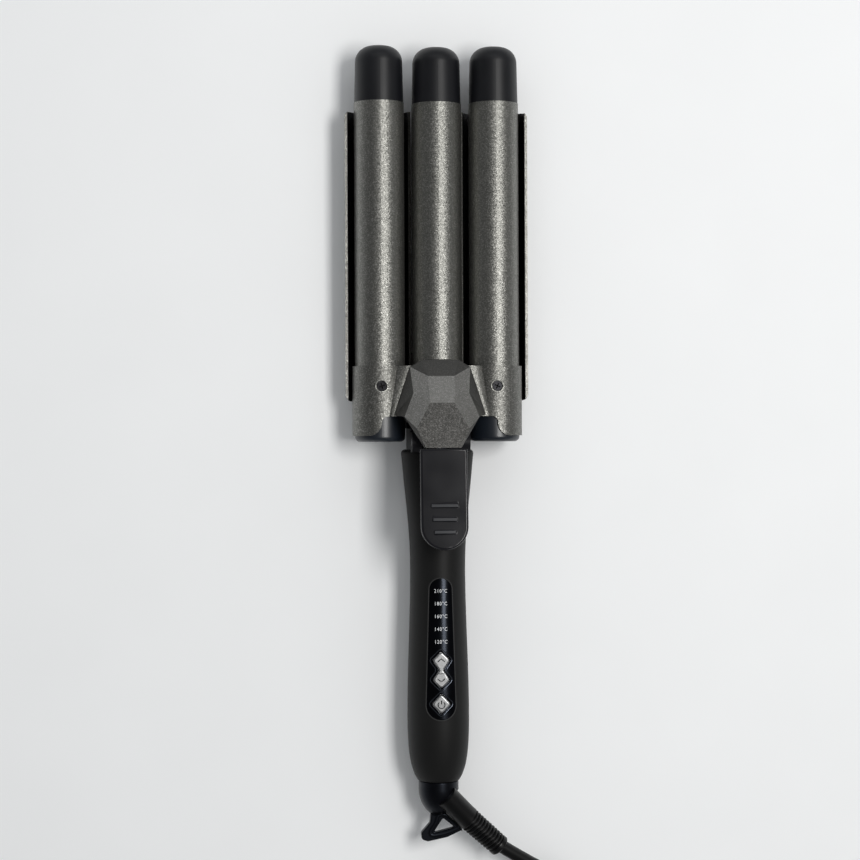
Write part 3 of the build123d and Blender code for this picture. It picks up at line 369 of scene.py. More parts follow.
def cross_recess(piece, x, y, face_z, radius, turn):
    """Cross-head recess in a screw whose head faces up."""
    for quarter in (0, 90):
        bpy.ops.mesh.primitive_cube_add(
            size=1.0, location=(x, y, face_z), rotation=(0, 0, radians(turn + quarter)))
        blade = bpy.context.view_layer.objects.active
        blade.scale = [share * radius for share in CROSS_BLADE]
        bpy.ops.object.transform_apply()
        cut(piece, blade)


def cross_screws(name, body, material, spots, radius):
    """A node's screws with their cross recesses cut, and the recesses painted near-black as shade."""
    face_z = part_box(name)[1][2]
    piece = worked_copy(name)
    for i, (x, y) in enumerate(spots):
        cross_recess(piece, x, y, face_z, radius, turn=17 + 50 * i)
    piece = finish_piece(piece, name + "_cut", body, material, (name,))
    # painted shade: faces inside the recesses get a near-black second material
    piece.data.materials.append(flexible_pvc(name + "_painted_recess_shade", linear("040404"), 0.8))
    for face in piece.data.polygons:
        if 0.1 * MM < face_z - face.center.z < CROSS_DEPTH * radius:
            away = min((face.center.xy - Vector(spot)).length for spot in spots)
            face.material_index = 1 if away < CROSS_REACH * radius else 0
    return piece


# ---- materials
def flake_coating(name, base, flake, flake_size, roughness, lean):
    """Metal flakes in a dark ground: each tips its own way, so the highlight breaks up into glitter."""
    material, tree = new_material(name, metallic=0.9, roughness=roughness)
    cells = add(tree, "ShaderNodeTexVoronoi", {"Vector": place(tree), "Scale": 1.0 / flake_size})
    fine = add(tree, "ShaderNodeTexVoronoi", {"Vector": place(tree), "Scale": 1.9 / flake_size})
    tone = add(tree, "ShaderNodeSeparateColor", {"Color": cells.outputs["Color"]})
    fine_tone = add(tree, "ShaderNodeSeparateColor", {"Color": fine.outputs["Color"]})
    share = add(tree, "ShaderNodeMath", {
        0: tone.outputs["Red"], 1: fine_tone.outputs["Green"]}, operation="MULTIPLY")
    mix = shades(tree, share.outputs[0], base, flake, low=0.15, high=0.9)
    rough = between(tree, fine_tone.outputs["Blue"], roughness - 0.06, roughness + 0.1)
    spread = add(tree, "ShaderNodeVectorMath", {
        0: fine.outputs["Color"], 1: (0.5, 0.5, 0.5)}, operation="SUBTRACT")
    tilt = add(tree, "ShaderNodeVectorMath", {0: spread.outputs[0], "Scale": lean}, operation="SCALE")
    normal = add(tree, "ShaderNodeNewGeometry").outputs["Normal"]
    tipped = add(tree, "ShaderNodeVectorMath", {0: normal, 1: tilt.outputs[0]}, operation="ADD")
    unit = add(tree, "ShaderNodeVectorMath", {0: tipped.outputs[0]}, operation="NORMALIZE")
    return feed(material, base_color=mix, roughness=rough, normal=unit.outputs[0])


def wing_finish(name, base, flake, flake_size, inner_radius, barrel_x, barrel_z):
    """Coated outside and rim, but painted near-black inside as shade, where the plate faces its barrel.
    """
    material = flake_coating(name, base, flake, flake_size, 0.38, 0.26)
    tree = material.node_tree
    shader = tree.nodes["Principled BSDF"]
    coated = shader.inputs["Base Color"].links[0].from_socket
    spot = add(tree, "ShaderNodeSeparateXYZ", {"Vector": place(tree)})
    side = add(tree, "ShaderNodeMath", {0: spot.outputs["X"]}, operation="ABSOLUTE")
    across = add(tree, "ShaderNodeMath", {0: side.outputs[0], 1: barrel_x}, operation="SUBTRACT")
    height = add(tree, "ShaderNodeMath", {0: spot.outputs["Z"], 1: barrel_z}, operation="SUBTRACT")
    reach = add(tree, "ShaderNodeCombineXYZ", {"X": across.outputs[0], "Y": height.outputs[0]})
    radius = add(tree, "ShaderNodeVectorMath", {0: reach.outputs[0]}, operation="LENGTH")
    # painted shade: inside the plate's inner radius the colour is near-black and not metallic
    outside = add(tree, "ShaderNodeMapRange", {
        "Value": radius.outputs["Value"], "From Min": inner_radius, "From Max": inner_radius + 0.3 * MM})
    mix = add(tree, "ShaderNodeMix", {0: outside.outputs["Result"], 6: linear("050506"), 7: coated},
              data_type="RGBA")
    return feed(material, base_color=mix.outputs[2],
                metallic=between(tree, outside.outputs["Result"], 0.0, 0.9))


def moulded(name, base, roughness, depth=0.012 * MM, specular=0.35):
    """Spark-eroded injection moulding: an even fine grain that spreads the light."""
    material, tree = new_material(name, roughness=roughness, specular_ior_level=specular)
    fine = grain(tree, 0.35 * MM, detail=3.0)
    broad = grain(tree, 9 * MM, detail=1.0)
    return feed(material, base_color=shades(tree, broad, tint(base, 0.88), tint(base, 1.15)),
                roughness=between(tree, broad, roughness - 0.05, roughness + 0.05),
                normal=relief(tree, fine, depth))


def soft_touch_paint(name, base):
    """Rubbery paint: dark and dull ahead, with a soft pale veil where the surface turns away."""
    material, tree = new_material(
        name, roughness=0.5, specular_ior_level=0.16, sheen_weight=0.018, sheen_roughness=0.4)
    broad = grain(tree, 14 * MM, detail=2.0)
    fine = grain(tree, 0.25 * MM)
    return feed(material, base_color=shades(tree, broad, tint(base, 0.93), tint(base, 1.08)),
                normal=relief(tree, fine, 0.006 * MM))


def polished_plastic(name, base, roughness, specular=0.28):
    """Polished plastic with a cool reflection and faint finger smears."""
    material, tree = new_material(
        name, roughness=roughness, specular_ior_level=specular, specular_tint=linear("DCE8FF"))
    smear = grain(tree, 6 * MM, detail=3.0, Distortion=0.6)
    return feed(material, base_color=shades(tree, smear, base, tint(base, 1.3)),
                roughness=between(tree, smear, roughness - 0.05, roughness + 0.06))


def satin_silver(name, base, roughness=0.34):
    """Silver paint on plastic: tiny aluminium flakes give a soft bright sheen."""
    material, tree = new_material(name, metallic=0.9, roughness=roughness)
    speck = grain(tree, 0.22 * MM, detail=3.0)
    return feed(material, base_color=shades(tree, speck, tint(base, 0.8), tint(base, 1.12)),
                normal=relief(tree, speck, 0.01 * MM))


def flexible_pvc(name, base, roughness):
    """Soft PVC: dull, a little waxy, with fine extrusion ripples."""
    material, tree = new_material(name, roughness=roughness, specular_ior_level=0.35)
    fine = grain(tree, 0.5 * MM, detail=3.0)
    broad = grain(tree, 20 * MM)
    return feed(material, base_color=shades(tree, broad, tint(base, 0.85), tint(base, 1.2)),
                normal=relief(tree, fine, 0.015 * MM))


def metal(name, base, roughness, stretch=(1.0, 1.0, 1.0)):
    """Bare or plated metal, with the marks of how it was drawn, turned or rolled."""
    material, tree = new_material(name, metallic=1.0, roughness=roughness)
    pulled = add(tree, "ShaderNodeMapping", {"Vector": place(tree), "Scale": stretch})
    marks = grain(tree, 0.6 * MM, detail=3.0, Vector=pulled.outputs["Vector"])
    return feed(material, base_color=shades(tree, marks, tint(base, 0.85), tint(base, 1.1)),
                roughness=between(tree, marks, roughness * 0.75, roughness * 1.3),
                normal=relief(tree, marks, 0.004 * MM))


def fired_ceramic(name, base):
    """Alumina: bright, dense and faintly granular."""
    material, tree = new_material(name, roughness=0.42)
    speck = grain(tree, 0.3 * MM, detail=4.0)
    return feed(material, base_color=shades(tree, speck, tint(base, 0.92), base),
                normal=relief(tree, speck, 0.01 * MM))


def solder_mask(name, base):
    """Circuit board: green lacquer over copper tracks that stand a hair proud."""
    material, tree = new_material(name, roughness=0.3, coat_weight=0.4)
    tracks = add(tree, "ShaderNodeTexBrick", {
        "Vector": place(tree), "Scale": 260.0, "Mortar Size": 0.03,
        "Color1": (0, 0, 0, 1), "Color2": (0, 0, 0, 1), "Mortar": (1, 1, 1, 1)}).outputs["Color"]
    return feed(material, base_color=shades(tree, tracks, base, tint(base, 2.2), 0.0, 1.0),
                normal=relief(tree, tracks, 0.03 * MM))


def printed_ink(name, base):
    """Pad-printed ink: flat, with a slightly broken edge and film."""
    material, tree = new_material(name, roughness=0.5)
    speck = grain(tree, 0.15 * MM)
    return feed(material, base_color=shades(tree, speck, tint(base, 0.85), base))


# ---- stage
def lamp(name, spot, sides, tone, target, power):
    """Flat lamp that faces the target; its first side lies level, across its aim."""
    bpy.ops.object.light_add(type="AREA", location=spot)
    light = bpy.context.view_layer.objects.active
    light.rotation_euler = (Vector(spot) - Vector(target)).to_track_quat("Z", "Y").to_euler()
    light.name = name
    light.data.shape = "RECTANGLE"
    light.data.size, light.data.size_y = sides
    light.data.energy = power
    light.data.color = tone


FLOOR_SIDE = 9.0
FLOOR_DROP = 0.1 * MM  # keeps the floor clear of the object's back
KEY_TARGET = (0.0, 0.13, 0.0)
KEY_LAMP = ((0.42, 0.13, 1.2), (0.62, 0.3), (1.0, 0.99, 0.97))  # place, sides and tone
TOP_LAMP = ((0.0, 0.95, 0.8), (1.6, 0.5), (0.96, 0.98, 1.0))
WALL_TOP = 0.1  # upward share of a direction, up to which it sees the walls
CEILING_FOOT = 0.65  # and from which it sees the ceiling


class WAVER_OT_stage(bpy.types.Operator):
    """Camera, pale floor, daylight and two soft lamps"""
    bl_idname = "waver.stage"
    bl_label = "Stage"

    def execute(self, context):
        stage = context.scene.waver_stage
        context.scene.view_settings.view_transform = "Standard"
        target = Vector(stage.target)
        turn = Matrix.Rotation(-stage.turn, 3, "Y") @ Matrix.Rotation(stage.roll, 3, "Z")
        eye = target + turn @ Vector((0, 0, stage.distance))
        bpy.ops.object.camera_add(location=eye, rotation=turn.to_euler())
        camera = context.view_layer.objects.active
        camera.data.lens = stage.lens
        camera.data.sensor_width = 36.0
        context.scene.camera = camera

        bpy.ops.mesh.primitive_plane_add(size=FLOOR_SIDE, location=(0, 0, -FLOOR_DROP))
        floor = context.view_layer.objects.active
        floor.name = "floor"
        paper, tree = new_material("matte_floor_paper", roughness=0.75, specular_ior_level=0.2)
        fibre = grain(tree, 30 * MM)
        pale = tuple(stage.floor_colour)
        feed(paper, base_color=shades(tree, fibre, tint(pale, 0.985), pale))
        floor.data.materials.append(paper)

        lamp("key_lamp", *KEY_LAMP, KEY_TARGET, stage.key_power)
        lamp("top_lamp", *TOP_LAMP, target, stage.top_power)

        world = bpy.data.worlds.new("daylight")
        context.scene.world = world
        world.use_nodes = True
        tree = world.node_tree
        ray = add(tree, "ShaderNodeLightPath").outputs
        rise = add(tree, "ShaderNodeSeparateXYZ", {"Vector": place(tree)}).outputs["Z"]
        room = add(tree, "ShaderNodeMapRange", {
            "Value": rise, "From Min": WALL_TOP, "From Max": CEILING_FOOT,
            "To Min": stage.walls, "To Max": stage.ceiling},
            interpolation_type="SMOOTHSTEP").outputs["Result"]
        seen_through = add(tree, "ShaderNodeMath", {
            0: ray["Is Glossy Ray"], 1: ray["Is Transmission Ray"]}, operation="MAXIMUM").outputs[0]
        strength = add(tree, "ShaderNodeMix", {
            0: seen_through, 2: stage.daylight, 3: room}, data_type="FLOAT").outputs[0]
        strength = add(tree, "ShaderNodeMix", {
            0: ray["Is Camera Ray"], 2: strength, 3: stage.backdrop}, data_type="FLOAT").outputs[0]
        tree.nodes["Background"].inputs["Color"].default_value = linear("F6F8F9")
        tree.links.new(strength, tree.nodes["Background"].inputs["Strength"])
        return {"FINISHED"}


# ---- mains cord
LEAD_ROUTE = (  # from inside the strain relief down to the table
    (0.02907, -0.20081, 0.01503), (0.043, -0.210, 0.0116),
    (0.06003, -0.21943, 0.0068), (0.07458, -0.23344, 0.0044))
TAIL_ROUTE = (  # from the coil into the plug
    (0.052, -0.339, 0.01105), (0.045, -0.343, 0.01185),
    (0.0375, -0.345, 0.01265), (0.031, -0.345, 0.01305))
COIL_CENTRE = (0.040, -0.280)
COIL_START = radians(25.0)


def coil_points(cord):
    """Two layers of turns, wound in to the middle and then out again on top."""
    r = cord.diameter / 2
    total = 2 * cord.layer_turns
    steps = round(total * cord.turn_points)
    for i in range(steps + 1):
        turn = total * i / steps
        angle = COIL_START - 2 * pi * turn
        inward = min(turn, total - turn)
        radius = cord.coil_radius - cord.diameter * inward
        climb = min(max(2 * (turn - cord.layer_turns), 0.0), 1.0)
        height = r + cord.diameter * sqrt(1 - (1 - climb) ** 2)
        yield (COIL_CENTRE[0] + radius * cos(angle), COIL_CENTRE[1] + radius * sin(angle), height)


class WAVER_OT_cord(bpy.types.Operator):
    """Mains cord: down to the table, put away in a round coil, and on to the plug"""
    bl_idname = "waver.cord"
    bl_label = "Mains cord and plug"

    def execute(self, context):
        cord = context.scene.waver_cord
        finish = context.scene.waver_finish
        route = [*LEAD_ROUTE, *coil_points(cord), *TAIL_ROUTE]
        piece = bead("mains_cord", [route], cord.diameter, kind="NURBS")
        piece.data.bevel_resolution = 5
        piece.data.splines[0].resolution_u = 4
        sheath = flexible_pvc("pvc_cord_sheath", finish.rubber, 0.44)
        piece.data.materials.append(sheath)
        plug = softened("plug_body", "swivel", sheath, 0.4 * MM, angle=35.0)
        paint(metal("nickel_plate", linear("C9C6BE"), 0.18), "plug_pins")
        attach(piece, "swivel")
        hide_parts("cord_lead", "cord_coil", "cord_tail")
        return {"FINISHED"}


# ---- jaws
WING_THICKNESS = 1.4 * MM


class WAVER_OT_barrels(bpy.types.Operator):
    """Barrels, tip caps, wing plates and base sockets"""
    bl_idname = "waver.barrels"
    bl_label = "Barrels and wings"

    def execute(self, context):
        finish = context.scene.waver_finish
        coating = flake_coating(
            "ceramic_flake_coating", finish.coating, finish.flake, finish.flake_size, 0.38, 0.3)
        paint(coating, "left_barrel", "centre_barrel", "right_barrel")
        caps = moulded("glass_filled_nylon", finish.moulded, 0.44, specular=0.4)
        paint(caps, "left_tip_cap", "centre_tip_cap", "right_tip_cap")
        low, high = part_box("right_barrel")
        barrel_x, barrel_z = (low[0] + high[0]) / 2, (low[2] + high[2]) / 2
        wing_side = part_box("right_wing_plate")[1][0]
        inner_radius = wing_side - WING_THICKNESS - barrel_x
        wings = wing_finish("coated_wing_plate", finish.coating, finish.flake, finish.flake_size,
                            inner_radius, barrel_x, barrel_z)
        for side in ("left", "right"):
            softened(side + "_wing_plate", "handle", wings, 0.4 * MM, angle=50.0)
        sockets = moulded("satin_phenolic", finish.socket, 0.36, depth=0.004 * MM, specular=0.7)
        paint(sockets, "left_barrel_socket", "centre_barrel_socket", "right_barrel_socket")
        return {"FINISHED"}


SADDLE_SCREWS = ((-28.75 * MM, 29 * MM), (28.75 * MM, 29 * MM))
SCREW_HEAD = 2.3 * MM  # radius
SCREW_RIM = 3.05 * MM  # radius of the bead round a screw hole
SCREW_RIM_SINK = 0.08 * MM
SCREW_RIM_WIDTH = 0.6 * MM
COVER_BAND_END = 33.7 * MM  # the middle of the cover ends here, and its brow begins, which is painted in shade with the flanks
COVER_FLANK_TURN = 0.78  # upright share of a face's normal, below which it is a flank, painted in shade
COVER_MIDDLE_TURN = 0.95  # and above which it is the speckled middle, painted darker as shade
COVER_COATS = (  # name, tints of ground and flake, share of the flake size, roughness and lean; the first is the cover's own coat, the flank and middle coats are darker copies, painted shade
    ("metallic_paint_cover", 0.85, 1.7, 0.8, 0.36, 0.2),
    ("metallic_paint_flank_shade", 0.3, 0.5, 0.6, 0.42, 0.1),
    ("speckled_paint_middle_shade", 0.22, 1.0, 0.9, 0.4, 0.24))


def ring_on(piece, x, y, radius, lift, points=32):
    """Circle of points on the front of a piece, lifted off it."""
    turns = [2 * pi * i / points for i in range(points)]
    return [front_of(piece, x + radius * cos(a), y + radius * sin(a), lift) for a in turns]


class WAVER_OT_saddle(bpy.types.Operator):
    """Saddle shell and centre cover of the lever jaw"""
    bl_idname = "waver.saddle"
    bl_label = "Saddle and cover"

    def execute(self, context):
        finish = context.scene.waver_finish
        shell = flake_coating("flake_paint_shell", tint(finish.coating, 0.8), finish.flake,
                              finish.flake_size, 0.42, 0.26)
        saddle = softened("saddle_shell", "lever_jaw", shell, 0.35 * MM, angle=40.0)
        context.view_layer.update()
        rims = [ring_on(saddle, x, y, SCREW_RIM, -SCREW_RIM_SINK) for x, y in SADDLE_SCREWS]
        # painted highlight: the beads round the screw holes take the shell's coating made twice as
        # bright
        bright = flake_coating("flake_paint_rim_highlight", tint(finish.coating, 2.0), tint(finish.flake, 1.6),
                               finish.flake_size, 0.35, 0.2)
        finished_bead("screw_hole_rims", rims, SCREW_RIM_WIDTH, "lever_jaw", bright)
        dark_steel = metal("blackened_steel", linear("2C2C2E"), 0.3)
        cross_screws("saddle_screws", "lever_jaw", dark_steel, SADDLE_SCREWS, SCREW_HEAD)
        cover, *others = [
            flake_coating(name, tint(finish.cover, dark), tint(finish.cover, light),
                          finish.flake_size * share, roughness, lean)
            for name, dark, light, share, roughness, lean in COVER_COATS]
        piece = softened("centre_cover", "lever_jaw", cover, 0.45 * MM, angle=6.0)
        for coat in others:
            piece.data.materials.append(coat)
        # painted shade: steep faces and the brow take the dark flank coat, level faces the darker
        # speckled middle coat
        for face in piece.data.polygons:
            if face.center.y > COVER_BAND_END or face.normal.z < COVER_FLANK_TURN:
                face.material_index = 1
            elif face.normal.z > COVER_MIDDLE_TURN:
                face.material_index = 2
        return {"FINISHED"}


LEVER_RISE = radians(5.8)  # of the lever's top over the level
RIDGE_CREST = 0.35 * MM  # depth of the top of each grip ridge that is painted paler as a highlight
RIDGE_TURN = 0.8  # share of a face's normal along the lever's upright, at least


class WAVER_OT_lever(bpy.types.Operator):
    """Thumb lever, its frame, the neck bracket and the rear yoke"""
    bl_idname = "waver.lever"
    bl_label = "Lever, bracket and yoke"

    def execute(self, context):
        finish = context.scene.waver_finish
        satin = moulded("satin_abs_lever", finish.satin, 0.18, depth=0.003 * MM, specular=0.3)
        dull = moulded("dull_nylon_bracket", finish.satin, 0.4, specular=0.14)
        lever = softened("thumb_lever", "lever_jaw", satin, 0.4 * MM, angle=35.0)
        # painted highlight: the tops of the grip ridges take a paler coat
        lever.data.materials.append(moulded("grip_ridge_highlight", finish.ridge, 0.24, specular=0.27))
        upright = Vector((0, sin(LEVER_RISE), cos(LEVER_RISE)))
        crest = max(vertex.co.dot(upright) for vertex in lever.data.vertices)
        for face in lever.data.polygons:
            if face.normal.dot(upright) > RIDGE_TURN and face.center.dot(upright) > crest - RIDGE_CREST:
                face.material_index = 1
        plain = moulded("moulded_nylon_black", finish.moulded, 0.52)
        paint(plain, "lever_frame")
        softened("neck_bracket", "handle", dull, 0.4 * MM, angle=35.0)
        softened("rear_yoke", "handle", plain, 0.4 * MM, angle=25.0)
        return {"FINISHED"}


# ---- handle
class WAVER_OT_handle(bpy.types.Operator):
    """Handle shells"""
    bl_idname = "waver.handle"
    bl_label = "Handle"

    def execute(self, context):
        finish = context.scene.waver_finish
        soft = soft_touch_paint("soft_touch_paint", finish.soft_touch)
        paint(soft, "handle_front_shell", "handle_rear_shell")
        return {"FINISHED"}


HANDLE_Z = 16.5 * MM  # height of the handle's axis
HANDLE_SECTIONS = (  # along the handle: y, half width, half depth
    (-50.0 * MM, 14.1 * MM, 15.2 * MM), (-77.8 * MM, 14.0 * MM, 15.5 * MM),
    (-110.0 * MM, 15.0 * MM, 16.1 * MM), (-135.0 * MM, 15.45 * MM, 16.5 * MM))
LENS_TOP = (-71.6 * MM, 5.6 * MM)  # centre and radius of each end of the lens
LENS_FOOT = (-129.25 * MM, 7.25 * MM)
LENS_DEPTH = 2.6 * MM
LENS_SINK = 0.04 * MM  # of its face below the handle's front
LENS_MARGIN = 2 * MM  # of the raw plate round the outline and above it
LENS_EDGE = 0.22 * MM  # rounding of its edges
LIP_SPREAD = 1.03  # width of the lip's line, in widths of the lens
LIP_SINK = 0.05 * MM
HOLE_PLAY = 0.3 * MM  # between a button and its hole
BUTTON_CORNER = 1.8 * MM  # how far each rounded corner reaches
ROCKER_HOLE_CORNER = 1.2 * MM
POWER_HOLE_CORNER = 1.4 * MM
ROCKER_Y = -111.55 * MM
ROCKER_STEP = 4.95 * MM  # from the rocker's waist to the middle of a diamond
ROCKER_DIAMOND = (4.35 * MM, 4.3 * MM)  # half width and half height
ROCKER_WAIST = 1.0 * MM
CORNER_SPREAD = 1.4  # how far a corner moves out, in margins
WAIST_SPREAD = 1.1
BUTTON_SHOULDER = 30.6 * MM  # below this the buttons are left as they are
BUTTON_FACE = 31.1 * MM  # and above this lies the face that is domed
BUTTON_TURN = 0.8  # upright share of that face's normal, at least
BUTTON_BLOCK = (9 * MM, 18 * MM)  # half sides of a block that holds any button
BUTTON_DOME = (  # steps of a button's domed face: inwards, upwards
    (0.1 * MM, 0.25 * MM), (0.18 * MM, 0.16 * MM), (0.25 * MM, 0.1 * MM), (0.3 * MM, 0.05 * MM))
POWER_Y = -128.3 * MM
POWER_DIAMOND = (4.8 * MM, 5.0 * MM)
CHEVRON = (1.75 * MM, 1.5 * MM)  # half width and rise
POWER_MARK = 1.7 * MM  # radius
TEMPERATURES = ("210°C", "180°C", "160°C", "140°C", "120°C")
FIGURE_HEIGHT = 0.72  # of a figure, in sizes of its typeface
FIGURE_SPACING = 1.22
FIGURE_WIDTH = 0.86
PRINT_FROM = 50 * MM  # height from which the print is laid on the lens
PRINT_PROUD = 0.03 * MM
SYMBOL_LIFT = 0.12  # of a stroke's middle line over the button, in its widths


def handle_front(x, y):
    """Height of the handle's elliptical front, smooth through its sections."""
    half_width = half_depth = 0.0
    for y0, width, depth in HANDLE_SECTIONS:
        weight = 1.0
        for y1, _, _ in HANDLE_SECTIONS:
            if y1 != y0:
                weight *= (y - y1) / (y0 - y1)
        half_width += weight * width
        half_depth += weight * depth
    return HANDLE_Z + half_depth * sqrt(1 - (x / half_width) ** 2)


def slot_outline(steps=40):
    """Outline of the tapered lens, round at both ends."""
    lean = asin((LENS_FOOT[1] - LENS_TOP[1]) / (LENS_TOP[0] - LENS_FOOT[0]))
    ends = ((LENS_TOP, lean, pi - lean), (LENS_FOOT, pi - lean, 2 * pi + lean))
    for (centre_y, radius), start, stop in ends:
        for i in range(steps + 1):
            angle = start + (stop - start) * i / steps
            yield (radius * cos(angle), centre_y + radius * sin(angle))


def diamonds(kind, margin):
    """Corners of the power button or of the rocker, or of a line round it."""
    if kind == "power":
        half_width, half_height = (length + CORNER_SPREAD * margin for length in POWER_DIAMOND)
        return [(0, POWER_Y + half_height), (half_width, POWER_Y),
                (0, POWER_Y - half_height), (-half_width, POWER_Y)]
    half_width, half_height = (length + CORNER_SPREAD * margin for length in ROCKER_DIAMOND)
    waist = ROCKER_WAIST + WAIST_SPREAD * margin
    right = [(half_width, ROCKER_STEP), (waist, 0), (half_width, -ROCKER_STEP)]
    tip = ROCKER_STEP + half_height
    corners = [(0, tip), *right, (0, -tip), *[(-x, y) for x, y in reversed(right)]]
    return [(x, ROCKER_Y + y) for x, y in corners]


def rounded(corners, reach, steps=8):
    """Outline through the corners, each rounded off from reach before it to reach after it."""
    count = len(corners)
    for i, corner in enumerate(corners):
        spot = Vector(corner)
        before = spot + (Vector(corners[i - 1]) - spot).normalized() * reach
        after = spot + (Vector(corners[(i + 1) % count]) - spot).normalized() * reach
        for k in range(steps + 1):
            share = k / steps
            yield before.lerp(spot, share).lerp(spot.lerp(after, share), share)


def plate_with_holes(loops, foot_z, top_z):
    """Upright block with the first loop as its outline and the others as holes."""
    plate = bead("plate", [[(x, y, 0.0) for x, y in loop] for loop in loops], 0.0, closed=True)
    plate.data.dimensions = "2D"
    plate.data.fill_mode = "BOTH"
    plate.data.extrude = (top_z - foot_z) / 2
    plate.location.z = (top_z + foot_z) / 2
    plate = as_mesh(plate)
    bpy.ops.object.transform_apply()
    merge_outwards()
    return plate


def lens_plate():
    """Curved plate that carries on the handle's front, cut to the lens's outline and holes."""
    low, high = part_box("panel_lens")
    bpy.ops.mesh.primitive_grid_add(x_subdivisions=36, y_subdivisions=90, size=1.0)
    plate = bpy.context.view_layer.objects.active
    width, length = high[0] - low[0] + LENS_MARGIN, high[1] - low[1] + LENS_MARGIN
    middle_y = (high[1] + low[1]) / 2
    for vertex in plate.data.vertices:
        x, y = vertex.co.x * width, middle_y + vertex.co.y * length
        vertex.co = (x, y, handle_front(x, y) - LENS_SINK)
    modify(plate, "SOLIDIFY", thickness=LENS_DEPTH, offset=-1.0)
    loops = [slot_outline(), rounded(diamonds("rocker", HOLE_PLAY), ROCKER_HOLE_CORNER),
             rounded(diamonds("power", HOLE_PLAY), POWER_HOLE_CORNER)]
    cut(plate, plate_with_holes(loops, low[2], high[2] + LENS_MARGIN), "INTERSECT")
    return soften(plate, LENS_EDGE, angle=40.0, segments=2)


def domed_button(kind, node, material):
    """Button, on the body of its kind, with rounded corners from its shoulder up and a domed face."""
    top_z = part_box(node)[1][2] + LENS_MARGIN
    piece = worked_copy(node)
    middle = POWER_Y if kind == "power" else ROCKER_Y
    across, along = BUTTON_BLOCK
    frame_loop = [(-across, middle - along), (across, middle - along),
                  (across, middle + along), (-across, middle + along)]
    outline = rounded(diamonds(kind, 0.0), BUTTON_CORNER)
    cut(piece, plate_with_holes([frame_loop, outline], BUTTON_SHOULDER, top_z))
    bpy.ops.object.mode_set(mode="EDIT")
    bpy.ops.mesh.select_all(action="DESELECT")
    bpy.ops.object.mode_set(mode="OBJECT")
    for face in piece.data.polygons:
        face.select = face.normal.z > BUTTON_TURN and face.center.z > BUTTON_FACE
    bpy.ops.object.mode_set(mode="EDIT")
    bpy.ops.mesh.select_mode(type="FACE")
    bpy.ops.transform.translate(value=(0, 0, -sum(rise for _, rise in BUTTON_DOME)))
    for inward, rise in BUTTON_DOME:
        bpy.ops.mesh.inset(thickness=inward, depth=rise, use_boundary=True, use_even_offset=False)
    bpy.ops.object.mode_set(mode="OBJECT")
    return finish_piece(piece, node + "_finished", kind, material, (node,), 60.0)


def label(words, y, height, lens, material):
    """Printed word that lies on the lens."""
    bpy.ops.object.text_add(location=(0, y, PRINT_FROM))
    piece = bpy.context.view_layer.objects.active
    piece.data.body = words
    piece.data.size = height / FIGURE_HEIGHT
    piece.data.space_character = FIGURE_SPACING
    piece.scale.x = FIGURE_WIDTH
    piece.data.align_x = "CENTER"
    piece.data.align_y = "CENTER"
    piece = as_mesh(piece)
    bpy.ops.object.transform_apply()
    modify(piece, "SHRINKWRAP", wrap_method="PROJECT", use_project_z=True, use_negative_direction=True,
           use_positive_direction=False, target=lens, offset=PRINT_PROUD)
    return finish_piece(piece, "label_" + words[:3], "handle", material, smooth=None)


def symbol(name, strokes, button, width, body, material):
    """Raised strokes on a button's face."""
    lift = SYMBOL_LIFT * width
    lifted = [[front_of(button, x, y, lift) for x, y in stroke] for stroke in strokes]
    return finished_bead(name, lifted, width, body, material, closed=False)


def chevron(middle_y, way):
    """Arrow head that points up (1) or down (-1) the handle."""
    half_width, rise = CHEVRON
    foot_y = middle_y - way * rise / 2
    return [[(-half_width, foot_y), (0, middle_y + way * rise / 2), (half_width, foot_y)]]


def power_mark(middle_y, radius, half_gap=38, steps=24):
    """Ring that is open at the top, with an upright stroke."""
    ring = [radians(90 + half_gap + (360 - 2 * half_gap) * i / steps) for i in range(steps + 1)]
    arc = [(radius * cos(a), middle_y - 0.2 * radius + radius * sin(a)) for a in ring]
    return [arc, [(0, middle_y + 0.05 * radius), (0, middle_y + 1.15 * radius)]]


